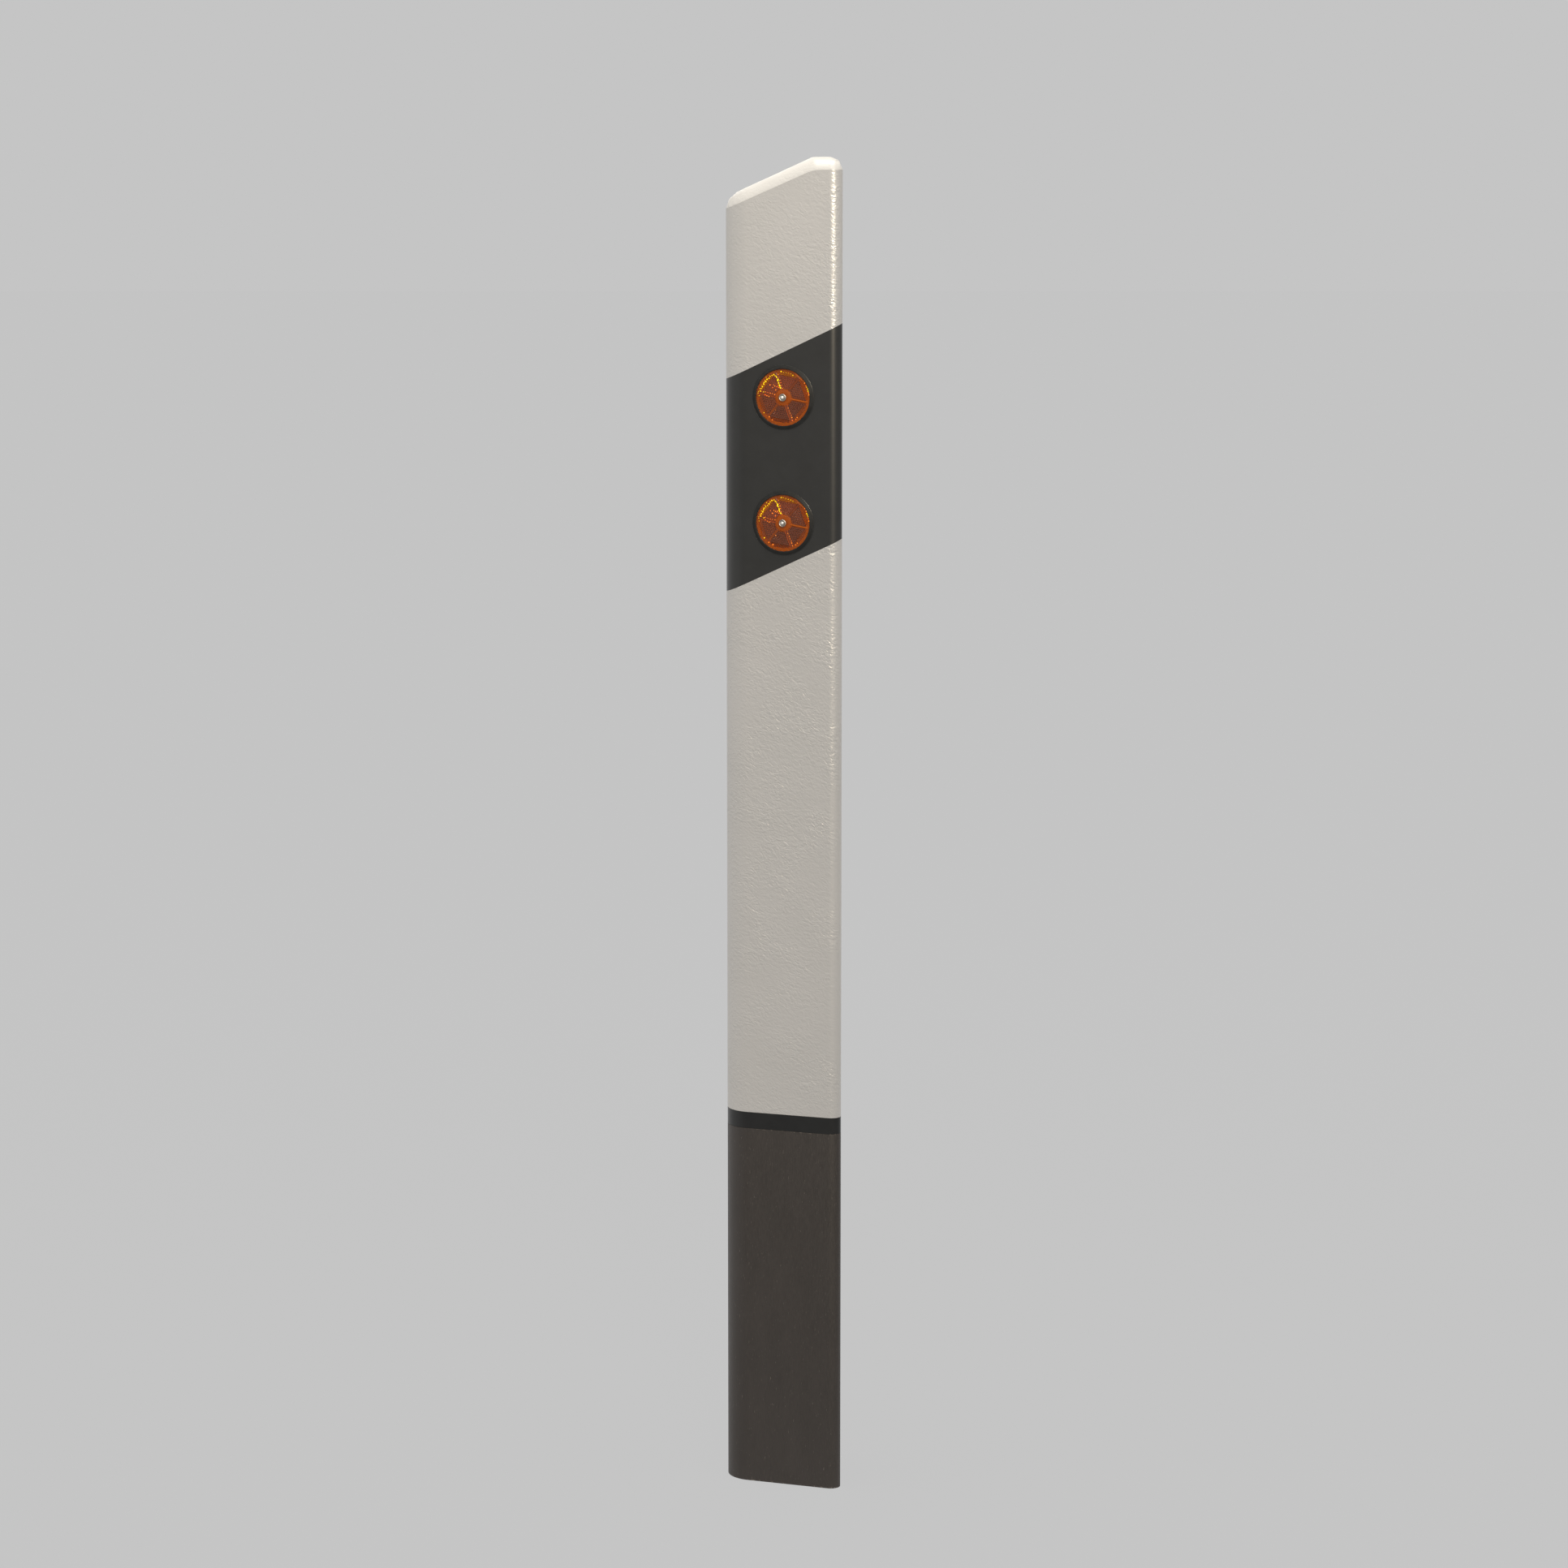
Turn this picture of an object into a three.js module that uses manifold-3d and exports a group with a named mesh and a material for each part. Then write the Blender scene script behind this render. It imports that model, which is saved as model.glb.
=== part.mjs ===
// A two-part roadside delineator post: a dark foot that is buried up to its collar, and a
// hollow white post that is plugged onto it. The post has a black band, two round amber
// reflectors on its front face and one long amber reflector on its rear face.
//
// Millimetres, +Z up. The nose of the triangular section points towards the road (-X), the
// flat base wall looks away from it (+X), the front face looks towards -Y. The origin is the
// centre of the bottom of the bounding box.

import * as THREE from 'three';
import { mergeVertices } from 'three/addons/utils/BufferGeometryUtils.js';
import Module from 'manifold-3d';

const wasm = await Module();
wasm.setup();

// Section: a rounded isosceles triangle
const WIDTH = 123;
const DEPTH = 122;
const NOSE_RADIUS = 32;
const CORNER_RADIUS = 10.5;
const SMALLEST_CORNER = 0.6;
const NOSE_STEPS = 12;
const CORNER_STEPS = 6;

// Heights above the bottom of the foot
const FOOT_TOP = 396;
const COLLAR_TOP = 414;
const TOP = 1439.5;
const SHOULDER = 12;

// The roof climbs from the nose to a level crest along the base wall
const ROOF_SLOPE = 0.45;
const CREST_X = 31;
const CREASE_BEND = 40;
const CREST_BEND = 12;
const CREST_STEPS = 5;

// The black band lies between two parallel slanting planes
const BAND_SLOPE = 0.496;
const BAND_LOW = 1010.1;
const BAND_HIGH = 1237.1;
const SLEEVE_WALL = 1.2;

// Walls, fits and the coupling
const GAP = 0.3;
const CUT_MARGIN = 1;
const OVERLAP = 0.2;
const POST_WALL = 3.5;
const FOOT_WALL = 4.5;
const FOOT_FLOOR = 5;
const FOOT_EDGE = 0.6;
const SPIGOT_WALL = 3;
const SPIGOT_PLAY = 0.8;
const SPIGOT_UP = 132;
const SPIGOT_DOWN = 90;
const SPIGOT_TAPER = 8;
const SPIGOT_LEAD = 1.5;
const DRAIN_RADIUS = 8;
const DRAIN_X = -25;
const SKIRT_HEIGHT = 16;
const SKIRT_WALL = 2.5;
const CAP_WALL = 3.5;

// Round reflectors
const REFLECTOR_X = -1;
const REFLECTOR_HEIGHTS = { upper: 1189, lower: 1056 };
const LENS_RADIUS = 30;
const BEZEL_RADIUS = 34.5;
const POCKET_RADIUS = 32.8;
const ROUND_STEPS = 36;
const SECTORS = 6;
const SECTOR_TURN = -10;
const SECTOR_APOTHEM = 22.5;
const SECTOR_GAP = 1.7;
const HUB_RADIUS = 8;
const LENS_EDGE = 0.4;
const LENS_RIM = 3.5;
const BEZEL_LIP = 0.8;

// Long reflector on the rear face
const LONG_HEIGHT = 180;
const LONG_WIDTH = 40;
const LONG_CENTRE = 1124;
const LONG_CORNER = 5;
const LONG_RIVET_OFFSET = 70;
const LONG_RIM = 3;
const LONG_PAD = { width: 30, height: 112, corner: 2 };

// Depths in a reflector, along the outward normal of the face it sits in
const BEZEL_FRONT = 2;
const LENS_FRONT = 1.8;
const LENS_BACK = -1;
const PAD_BACK = -2.8;
const RIM_BACK = -2.4;
const SEAL_BACK = -4.2;
const HOUSING_FLOOR = -4.5;
const HOUSING_BACK = -6.3;
const POCKET_FLOOR = -6.6;
const POCKET_BACK = -9.1;
const POCKET_WALL = 2.7;
const CUP_SINK = 0.5;

// Blind rivets
const RIVET_RADIUS = 2;
const RIVET_HOLE = 2.4;
const RIVET_BORE = 1.5;
const MANDREL_RADIUS = 1.2;
const RIVET_FLANGE = 4;
const RIVET_STEPS = 12;
const FLANGE_HEIGHT = 1.2;
const TAIL_RADIUS = 3.3;
const TAIL_TIP = 2.6;
const TAIL_LENGTH = 3.2;
const PIN_HEAD_RADIUS = 1.9;
const PIN_HEAD_LENGTH = 1.2;
const PIN_SINK = 0.4;
const COUNTERSINK_RADIUS = 4.8;
const COUNTERSINK_DEPTH = 2.2;
const FOOT_DRILLING = 30;
const WASHER_RADIUS = 6;
const WASHER_HEIGHT = 1.2;
const FOOT_RIVET_HEIGHT = 352;
const FOOT_RIVET_SPACING = 56;

const MATERIALS = {
  white: { color: 0xdedad2, roughness: 0.45, metalness: 0 },
  band: { color: 0x2f2f2d, roughness: 0.4, metalness: 0 },
  collar: { color: 0x232422, roughness: 0.4, metalness: 0 },
  foot: { color: 0x3b3430, roughness: 0.75, metalness: 0 },
  housing: { color: 0x1d1e1d, roughness: 0.45, metalness: 0 },
  amber: { color: 0xd9560a, roughness: 0.12, metalness: 0 },
  rubber: { color: 0x151515, roughness: 0.85, metalness: 0 },
  aluminium: { color: 0xb9bcbe, roughness: 0.3, metalness: 1 },
  steel: { color: 0xa7a7a5, roughness: 0.28, metalness: 1 },
};

// ---------------------------------------------------------------------------------------
// The section

const NOSE_X = NOSE_RADIUS - WIDTH / 2;
const CORNER_X = WIDTH / 2 - CORNER_RADIUS;
const CORNER_Y = DEPTH / 2 - CORNER_RADIUS;
const SPAN = Math.hypot(CORNER_X - NOSE_X, CORNER_Y);
const FACE_ANGLE = Math.atan2(CORNER_Y, CORNER_X - NOSE_X)
  - Math.asin((NOSE_RADIUS - CORNER_RADIUS) / SPAN);

function arcPoints(centre, radius, start, end, steps) {
  const points = [];
  for (let i = 0; i <= steps; i += 1) {
    const angle = start + (end - start) * i / steps;
    points.push(new THREE.Vector2(
      centre.x + radius * Math.cos(angle),
      centre.y + radius * Math.sin(angle),
    ));
  }
  return points;
}

// Distance from the X axis to a flat face that lies INSET inside the outer one
function faceY(x, inset = 0) {
  return (NOSE_RADIUS - inset + (x - NOSE_X) * Math.sin(FACE_ANGLE)) / Math.cos(FACE_ANGLE);
}

// One half of the section (y >= 0), then its mirror image, anticlockwise from the base wall
function section(inset) {
  const cornerRadius = Math.max(CORNER_RADIUS - inset, SMALLEST_CORNER);
  const shift = inset + cornerRadius - CORNER_RADIUS;
  const corner = new THREE.Vector2(
    CORNER_X - shift,
    CORNER_Y - shift * (1 + Math.sin(FACE_ANGLE)) / Math.cos(FACE_ANGLE),
  );
  const nose = new THREE.Vector2(NOSE_X, 0);
  const tangent = Math.PI / 2 + FACE_ANGLE;
  const half = arcPoints(corner, cornerRadius, 0, tangent, CORNER_STEPS);
  half.push(...crestPoints(inset));
  half.push(...arcPoints(nose, NOSE_RADIUS - inset, tangent, Math.PI, NOSE_STEPS / 2));
  const mirrored = half.slice(0, -1).reverse().map((p) => new THREE.Vector2(p.x, -p.y));
  return [...half, ...mirrored];
}

// Points on the flat face where the roof bends from its slope to its level crest
function crestPoints(inset) {
  const reach = CREASE_BEND * Math.tan(Math.atan(ROOF_SLOPE) / 2);
  const points = [];
  for (let i = 0; i <= CREST_STEPS; i += 1) {
    const x = CREST_X + reach - 2 * reach * i / CREST_STEPS;
    points.push(new THREE.Vector2(x, faceY(x, inset)));
  }
  return points;
}

// The section at an inset, lifted to a height that is a number or a function of x
function ring(inset, height) {
  const level = typeof height === 'function' ? height : () => height;
  return section(inset).map((p) => new THREE.Vector3(p.x, p.y, level(p.x)));
}

// Height of the roof below its crest, with a bend of the given radius between both planes
function roof(x, bend) {
  const angle = Math.atan(ROOF_SLOPE);
  const reach = bend * Math.tan(angle / 2);
  if (x >= CREST_X + reach) return 0;
  if (x <= CREST_X - reach * Math.cos(angle)) return ROOF_SLOPE * (x - CREST_X);
  return Math.sqrt(bend ** 2 - (x - CREST_X - reach) ** 2) - bend;
}

const crease = (x) => TOP - SHOULDER + roof(x, CREASE_BEND);
const bandLow = (x) => BAND_LOW + BAND_SLOPE * x;
const bandHigh = (x) => BAND_HIGH + BAND_SLOPE * x;
const raised = (height, by) => (x) => height(x) + by;

// ---------------------------------------------------------------------------------------
// Solids

// Joins rings of equal length into a closed skin. A tube's last ring meets its first one;
// otherwise both ends are closed by strips between mirrored points of the ring.
function loft(rings, isTube = false) {
  const count = rings[0].length;
  const index = [];
  const lastJoin = isTube ? rings.length : rings.length - 1;
  for (let r = 0; r < lastJoin; r += 1) {
    const low = r * count;
    const high = ((r + 1) % rings.length) * count;
    for (let i = 0; i < count; i += 1) {
      const next = (i + 1) % count;
      index.push(low + i, low + next, high + next, low + i, high + next, high + i);
    }
  }
  if (!isTube) {
    index.push(...endStrip(count, 0).reverse());
    index.push(...endStrip(count, (rings.length - 1) * count));
  }
  const geometry = new THREE.BufferGeometry().setFromPoints(rings.flat());
  geometry.setIndex(index);
  return geometry;
}

function endStrip(count, first) {
  const index = [];
  for (let i = 0; i < count - 2 - i; i += 1) {
    const far = count - 1 - i;
    index.push(first + i, first + i + 1, first + far);
    if (i + 1 < far - 1) index.push(first + i + 1, first + far - 1, first + far);
  }
  return index;
}

// A ring-shaped or solid body of revolution about Z, from [radius, z] pairs that run
// anticlockwise in the (radius, z) plane
function turned(profile, steps) {
  const points = profile.map(([radius, z]) => new THREE.Vector2(radius, z));
  const onAxis = profile[0][0] === 0;
  if (!onAxis) points.push(points[0].clone());
  return new THREE.LatheGeometry(points, steps).rotateX(Math.PI / 2);
}

function extruded(outline, from, to) {
  const options = { depth: to - from, bevelEnabled: false };
  return new THREE.ExtrudeGeometry(new THREE.Shape(outline), options).translate(0, 0, from);
}

function roundedRectangle(width, height, radius) {
  const quarter = Math.PI / 2;
  const half = [-1, 1].flatMap((side) => {
    const centre = new THREE.Vector2(width / 2 - radius, side * (height / 2 - radius));
    return arcPoints(centre, radius, side < 0 ? -quarter : 0, side < 0 ? 0 : quarter, 4);
  });
  const mirrored = half.slice().reverse().map((p) => new THREE.Vector2(-p.x, p.y));
  return [...half, ...mirrored];
}

function toSolid(geometry, matrix = new THREE.Matrix4()) {
  const bare = geometry.clone().applyMatrix4(matrix);
  bare.deleteAttribute('normal');
  bare.deleteAttribute('uv');
  const merged = mergeVertices(bare, 1e-4);
  return new wasm.Manifold(new wasm.Mesh({
    numProp: 3,
    vertProperties: new Float32Array(merged.attributes.position.array),
    triVerts: new Uint32Array(merged.index.array),
  }));
}

function toGeometry(solid) {
  const mesh = solid.getMesh();
  const geometry = new THREE.BufferGeometry();
  geometry.setAttribute('position', new THREE.BufferAttribute(mesh.vertProperties, 3));
  geometry.setIndex(new THREE.BufferAttribute(mesh.triVerts, 1));
  return geometry;
}

function cut(geometry, ...tools) {
  return toGeometry(tools.reduce((solid, tool) => solid.subtract(tool), toSolid(geometry)));
}

function joined(geometry, ...extras) {
  return toGeometry(extras.reduce((solid, extra) => solid.add(extra), toSolid(geometry)));
}

function rod(radius, from, to, steps = RIVET_STEPS) {
  return turned([[0, from], [radius, from], [radius, to], [0, to]], steps);
}

function node(name, geometry, material) {
  geometry.computeVertexNormals();
  const finish = new THREE.MeshStandardMaterial({ ...MATERIALS[material], flatShading: true });
  const mesh = new THREE.Mesh(geometry, finish);
  mesh.name = name;
  return mesh;
}

// ---------------------------------------------------------------------------------------
// Where the reflectors and rivets sit: local z points out of the face, local y points up

function faceFrame(turn, position) {
  return new THREE.Matrix4()
    .makeTranslation(position.x, position.y, position.z)
    .multiply(new THREE.Matrix4().makeRotationZ(turn))
    .multiply(new THREE.Matrix4().makeRotationX(Math.PI / 2));
}

function frontFrame(height) {
  const place = new THREE.Vector3(REFLECTOR_X, -faceY(REFLECTOR_X), height);
  return faceFrame(-FACE_ANGLE, place);
}

const rearFrame = faceFrame(
  Math.PI + FACE_ANGLE,
  new THREE.Vector3(REFLECTOR_X, faceY(REFLECTOR_X), LONG_CENTRE),
);

function baseFrame(side) {
  const place = new THREE.Vector3(WIDTH / 2, side * FOOT_RIVET_SPACING / 2, FOOT_RIVET_HEIGHT);
  return faceFrame(Math.PI / 2, place);
}

function shifted(frame, y) {
  return frame.clone().multiply(new THREE.Matrix4().makeTranslation(0, y, 0));
}

function placed(frame, ...meshes) {
  const group = new THREE.Group();
  group.applyMatrix4(frame);
  group.add(...meshes);
  return group;
}

// ---------------------------------------------------------------------------------------
// Foot and coupling

const footRivetHead = [
  [0, -FOOT_DRILLING], [RIVET_HOLE, -FOOT_DRILLING], [RIVET_HOLE, -COUNTERSINK_DEPTH],
  [COUNTERSINK_RADIUS, OVERLAP], [0, OVERLAP],
];
const footRivetCuts = [-1, 1].map((side) => {
  return toSolid(turned(footRivetHead, RIVET_STEPS), baseFrame(side));
});

function footShell() {
  const body = loft([
    ring(FOOT_EDGE, 0),
    ring(0, FOOT_EDGE),
    ring(0, FOOT_TOP),
    ring(FOOT_WALL, FOOT_TOP),
    ring(FOOT_WALL, FOOT_FLOOR),
  ]);
  const drain = rod(DRAIN_RADIUS, -CUT_MARGIN, FOOT_FLOOR + CUT_MARGIN).translate(DRAIN_X, 0, 0);
  return cut(body, toSolid(drain), ...footRivetCuts);
}

function coupling() {
  const lower = FOOT_WALL + GAP;
  const upper = POST_WALL + SPIGOT_PLAY;
  const bore = Math.max(lower, upper) + SPIGOT_WALL;
  const spigotTop = COLLAR_TOP + SPIGOT_UP;
  const body = loft([
    ring(lower, FOOT_TOP - SPIGOT_DOWN),
    ring(lower, FOOT_TOP + GAP),
    ring(0, FOOT_TOP + GAP),
    ring(0, COLLAR_TOP - GAP),
    ring(upper, COLLAR_TOP - GAP),
    ring(upper, spigotTop - SPIGOT_TAPER),
    ring(upper + SPIGOT_LEAD, spigotTop),
    ring(bore, spigotTop),
    ring(bore, FOOT_TOP - SPIGOT_DOWN),
  ], true);
  return cut(body, ...footRivetCuts);
}

// The swollen tail of a set rivet below the height FROM, from its bore outwards and upwards
function rivetTail(from) {
  const low = from - TAIL_LENGTH;
  return [
    [RIVET_BORE, low], [TAIL_TIP, low], [TAIL_RADIUS, low + TAIL_LENGTH / 3],
    [TAIL_RADIUS, from - TAIL_LENGTH / 4], [RIVET_RADIUS, from],
  ];
}

// The mandrel's head below the swollen tail, up to where its shank begins
function mandrelHead(from) {
  const high = from - TAIL_LENGTH - PIN_SINK;
  const low = high - PIN_HEAD_LENGTH;
  return [
    [0, low], [PIN_HEAD_RADIUS, low + PIN_SINK], [PIN_HEAD_RADIUS, high - PIN_SINK],
    [MANDREL_RADIUS, high],
  ];
}

function footRivets() {
  const tail = -(FOOT_WALL + SPIGOT_WALL + 2 * GAP);
  const head = -PIN_SINK;
  const body = turned([
    ...rivetTail(tail), [RIVET_RADIUS, -COUNTERSINK_DEPTH - OVERLAP], [RIVET_FLANGE, head],
    [RIVET_BORE, head],
  ], RIVET_STEPS);
  const pin = turned([
    ...mandrelHead(tail), [MANDREL_RADIUS, 2 * head], [0, 2 * head],
  ], RIVET_STEPS);
  return [['left', -1], ['right', 1]].map(([label, side]) => placed(
    baseFrame(side),
    node(`foot_rivet_${label}`, body, 'aluminium'),
    node(`foot_rivet_mandrel_${label}`, pin, 'steel'),
  ));
}

// ---------------------------------------------------------------------------------------
// Post

function roundCutter(radius, from, to, frame) {
  return toSolid(rod(radius, from, to, ROUND_STEPS), frame);
}

function longCutter(grow, from, to) {
  const outline = roundedRectangle(LONG_WIDTH + grow, LONG_HEIGHT + grow, LONG_CORNER + grow / 2);
  return toSolid(extruded(outline, from, to), rearFrame);
}

const roundFrames = Object.values(REFLECTOR_HEIGHTS).map(frontFrame);
const longRivetFrames = [-1, 1].map((side) => shifted(rearFrame, side * LONG_RIVET_OFFSET));
const LONG_POCKET_GROW = 2 * (POCKET_RADIUS - LENS_RADIUS);
const longPocketCut = longCutter(LONG_POCKET_GROW, POCKET_FLOOR, CUT_MARGIN);
const roundPocketCuts = roundFrames.map((frame) => {
  return roundCutter(POCKET_RADIUS, POCKET_FLOOR, CUT_MARGIN, frame);
});
const rivetCuts = [...roundFrames, ...longRivetFrames].map((frame) => {
  return toSolid(rod(RIVET_HOLE, POCKET_BACK - CUT_MARGIN, LENS_FRONT), frame);
});

function postShell() {
  const recess = SLEEVE_WALL + GAP;
  const cupTop = -recess - CUP_SINK;
  const body = loft([
    ring(0, COLLAR_TOP),
    ring(0, bandLow),
    ring(recess, bandLow),
    ring(recess, bandHigh),
    ring(0, bandHigh),
    ring(0, crease),
    ring(POST_WALL, crease),
    ring(POST_WALL, COLLAR_TOP),
  ], true);
  const cups = roundFrames.map((frame) => {
    return roundCutter(POCKET_RADIUS + POCKET_WALL, POCKET_BACK, cupTop, frame);
  });
  cups.push(longCutter(LONG_POCKET_GROW + 2 * POCKET_WALL, POCKET_BACK, cupTop));
  return cut(joined(body, ...cups), ...roundPocketCuts, longPocketCut, ...rivetCuts);
}

function bandSleeve() {
  const low = raised(bandLow, GAP);
  const high = raised(bandHigh, -GAP);
  const body = loft([
    ring(0, low), ring(0, high), ring(SLEEVE_WALL, high), ring(SLEEVE_WALL, low),
  ], true);
  return cut(body, ...roundPocketCuts, longPocketCut);
}

// The cap's shoulder is a quarter round in two chords between the crease and the roof
function topCap() {
  const skirt = POST_WALL + GAP;
  const inner = skirt + SKIRT_WALL;
  const chord = SHOULDER * (1 - Math.SQRT1_2);
  const ceiling = Math.max(SHOULDER - CAP_WALL, inner);
  return loft([
    ring(ceiling, (x) => TOP - CAP_WALL + roof(x, CREST_BEND)),
    ring(inner, (x) => TOP - SHOULDER + roof(x, CREASE_BEND)),
    ring(inner, raised(crease, -SKIRT_HEIGHT)),
    ring(skirt, raised(crease, -SKIRT_HEIGHT)),
    ring(skirt, raised(crease, GAP)),
    ring(0, raised(crease, GAP)),
    ring(chord, (x) => TOP - chord + roof(x, (CREASE_BEND + CREST_BEND) / 2)),
    ring(SHOULDER, (x) => TOP + roof(x, CREST_BEND)),
  ]);
}

// ---------------------------------------------------------------------------------------
// Reflectors

function roundHousing() {
  const wall = POCKET_RADIUS - GAP;
  return turned([
    [RIVET_HOLE, HOUSING_BACK], [wall, HOUSING_BACK], [wall, GAP], [BEZEL_RADIUS, GAP],
    [BEZEL_RADIUS, 2 * GAP], [LENS_RADIUS + BEZEL_LIP, BEZEL_FRONT],
    [LENS_RADIUS + GAP, BEZEL_FRONT], [LENS_RADIUS + GAP, HOUSING_FLOOR], [RIVET_HOLE, HOUSING_FLOOR],
  ], ROUND_STEPS);
}

// One prism field: the part of a hexagon's sixth between the hub and the straight outer side
function sectorPad(index) {
  const half = Math.PI / SECTORS;
  const slope = Math.tan(half);
  const inset = SECTOR_GAP / 2 / Math.cos(half);
  const sideY = (x) => x * slope - inset;
  const inner = HUB_RADIUS + SECTOR_GAP / 2;
  const outer = SECTOR_APOTHEM;
  const outline = [[inner, -1], [outer, -1], [outer, 1], [inner, 1]].map(([x, side]) => {
    return new THREE.Vector2(x, side * sideY(x));
  });
  const angle = THREE.MathUtils.degToRad(SECTOR_TURN) + (2 * index + 1) * half;
  return extruded(outline, PAD_BACK, LENS_BACK + OVERLAP).rotateZ(angle);
}

function roundLens() {
  const plate = turned([
    [RIVET_HOLE, SEAL_BACK], [HUB_RADIUS, SEAL_BACK], [HUB_RADIUS, LENS_BACK],
    [LENS_RADIUS - LENS_RIM, LENS_BACK], [LENS_RADIUS - LENS_RIM, RIM_BACK], [LENS_RADIUS, RIM_BACK],
    [LENS_RADIUS, LENS_FRONT - LENS_EDGE], [LENS_RADIUS - LENS_EDGE, LENS_FRONT],
    [RIVET_HOLE, LENS_FRONT],
  ], ROUND_STEPS);
  const pads = Array.from({ length: SECTORS }, (_, index) => toSolid(sectorPad(index)));
  return joined(plate, ...pads);
}

function roundSeal() {
  const inner = LENS_RADIUS - LENS_RIM;
  const top = RIM_BACK - GAP;
  return turned([
    [inner, SEAL_BACK], [LENS_RADIUS, SEAL_BACK], [LENS_RADIUS, top], [inner, top],
  ], ROUND_STEPS);
}

const longRing = (grow, z) => {
  const outline = roundedRectangle(LONG_WIDTH + grow, LONG_HEIGHT + grow, LONG_CORNER + grow / 2);
  return outline.map((p) => new THREE.Vector3(p.x, p.y, z));
};

const longRivetHoles = [-1, 1].map((side) => {
  const hole = rod(RIVET_HOLE, POCKET_FLOOR, LENS_FRONT + CUT_MARGIN);
  return toSolid(hole.translate(0, side * LONG_RIVET_OFFSET, 0));
});

function longHousing() {
  const outer = LONG_POCKET_GROW - 2 * GAP;
  const bezel = 2 * (BEZEL_RADIUS - LENS_RADIUS);
  const body = loft([
    longRing(outer, HOUSING_BACK), longRing(outer, GAP), longRing(bezel, GAP),
    longRing(bezel, 2 * GAP), longRing(2 * BEZEL_LIP, BEZEL_FRONT), longRing(2 * GAP, BEZEL_FRONT),
    longRing(2 * GAP, HOUSING_FLOOR),
  ]);
  return cut(body, ...longRivetHoles);
}

// The long lens has a raised rim and two rivet bosses behind its plate
function longLens() {
  const plate = loft([
    longRing(0, RIM_BACK), longRing(0, LENS_FRONT - LENS_EDGE), longRing(-2 * LENS_EDGE, LENS_FRONT),
  ]);
  const hollow = loft([
    longRing(-2 * LONG_RIM, RIM_BACK - CUT_MARGIN), longRing(-2 * LONG_RIM, LENS_BACK),
  ]);
  const bosses = [-1, 1].map((side) => {
    const boss = rod(HUB_RADIUS, SEAL_BACK, LENS_BACK + OVERLAP, 2 * RIVET_STEPS);
    return toSolid(boss.translate(0, side * LONG_RIVET_OFFSET, 0));
  });
  const padOutline = roundedRectangle(LONG_PAD.width, LONG_PAD.height, LONG_PAD.corner);
  const pad = toSolid(extruded(padOutline, PAD_BACK, LENS_BACK + OVERLAP));
  return cut(joined(cut(plate, toSolid(hollow)), pad, ...bosses), ...longRivetHoles);
}

function longSeal() {
  const top = RIM_BACK - GAP;
  const inner = -2 * LONG_RIM;
  return loft([
    longRing(0, SEAL_BACK), longRing(0, top), longRing(inner, top), longRing(inner, SEAL_BACK),
  ], true);
}

// A set blind rivet: flange on the lens, shank through the housing and the pocket floor,
// swollen tail behind the backing washer, and the broken mandrel left inside it
function rivetSet(label) {
  const seat = LENS_FRONT + GAP;
  const washerTop = POCKET_BACK - GAP;
  const tail = washerTop - WASHER_HEIGHT - GAP;
  const flangeTop = seat + FLANGE_HEIGHT;
  const body = turned([
    ...rivetTail(tail), [RIVET_RADIUS, seat], [RIVET_FLANGE, seat],
    [RIVET_FLANGE - LENS_EDGE, flangeTop - LENS_EDGE], [TAIL_TIP, flangeTop],
    [RIVET_BORE, flangeTop - LENS_EDGE],
  ], RIVET_STEPS);
  const pin = turned([
    ...mandrelHead(tail), [MANDREL_RADIUS, flangeTop - LENS_EDGE],
    [MANDREL_RADIUS / 2, flangeTop + OVERLAP], [0, flangeTop + OVERLAP],
  ], RIVET_STEPS);
  const washer = turned([
    [RIVET_HOLE, washerTop - WASHER_HEIGHT], [WASHER_RADIUS, washerTop - WASHER_HEIGHT],
    [WASHER_RADIUS, washerTop], [RIVET_HOLE, washerTop],
  ], RIVET_STEPS);
  return [
    node(`${label}_rivet`, body, 'aluminium'),
    node(`${label}_rivet_mandrel`, pin, 'steel'),
    node(`${label}_backing_washer`, washer, 'aluminium'),
  ];
}

function roundReflector(label, height) {
  return placed(
    frontFrame(height),
    node(`${label}_reflector_housing`, roundHousing(), 'housing'),
    node(`${label}_reflector_lens`, roundLens(), 'amber'),
    node(`${label}_reflector_seal`, roundSeal(), 'rubber'),
    ...rivetSet(`${label}_reflector`),
  );
}

function rearReflector() {
  return placed(
    rearFrame,
    node('rear_reflector_housing', longHousing(), 'housing'),
    node('rear_reflector_lens', longLens(), 'amber'),
    node('rear_reflector_seal', longSeal(), 'rubber'),
  );
}

// ---------------------------------------------------------------------------------------
// Assembly

const delineator = new THREE.Group();
delineator.add(
  node('foot_shell', footShell(), 'foot'),
  node('coupling', coupling(), 'collar'),
  ...footRivets(),
  node('post_shell', postShell(), 'white'),
  node('band_sleeve', bandSleeve(), 'band'),
  node('top_cap', topCap(), 'white'),
  rearReflector(),
);
for (const [label, height] of Object.entries(REFLECTOR_HEIGHTS)) {
  delineator.add(roundReflector(label, height));
}
longRivetFrames.forEach((frame, index) => {
  delineator.add(placed(frame, ...rivetSet(['rear_reflector_lower', 'rear_reflector_upper'][index])));
});

export default delineator;
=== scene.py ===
"""The looks of a two-part roadside delineator post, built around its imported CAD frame.

Lengths are metres in the frame's own axes: +Z up, the nose of the triangular section towards
-X, the flat base wall towards +X, the front face towards -Y.
"""

import math
import random

import bpy
from mathutils import Matrix, Vector


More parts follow.
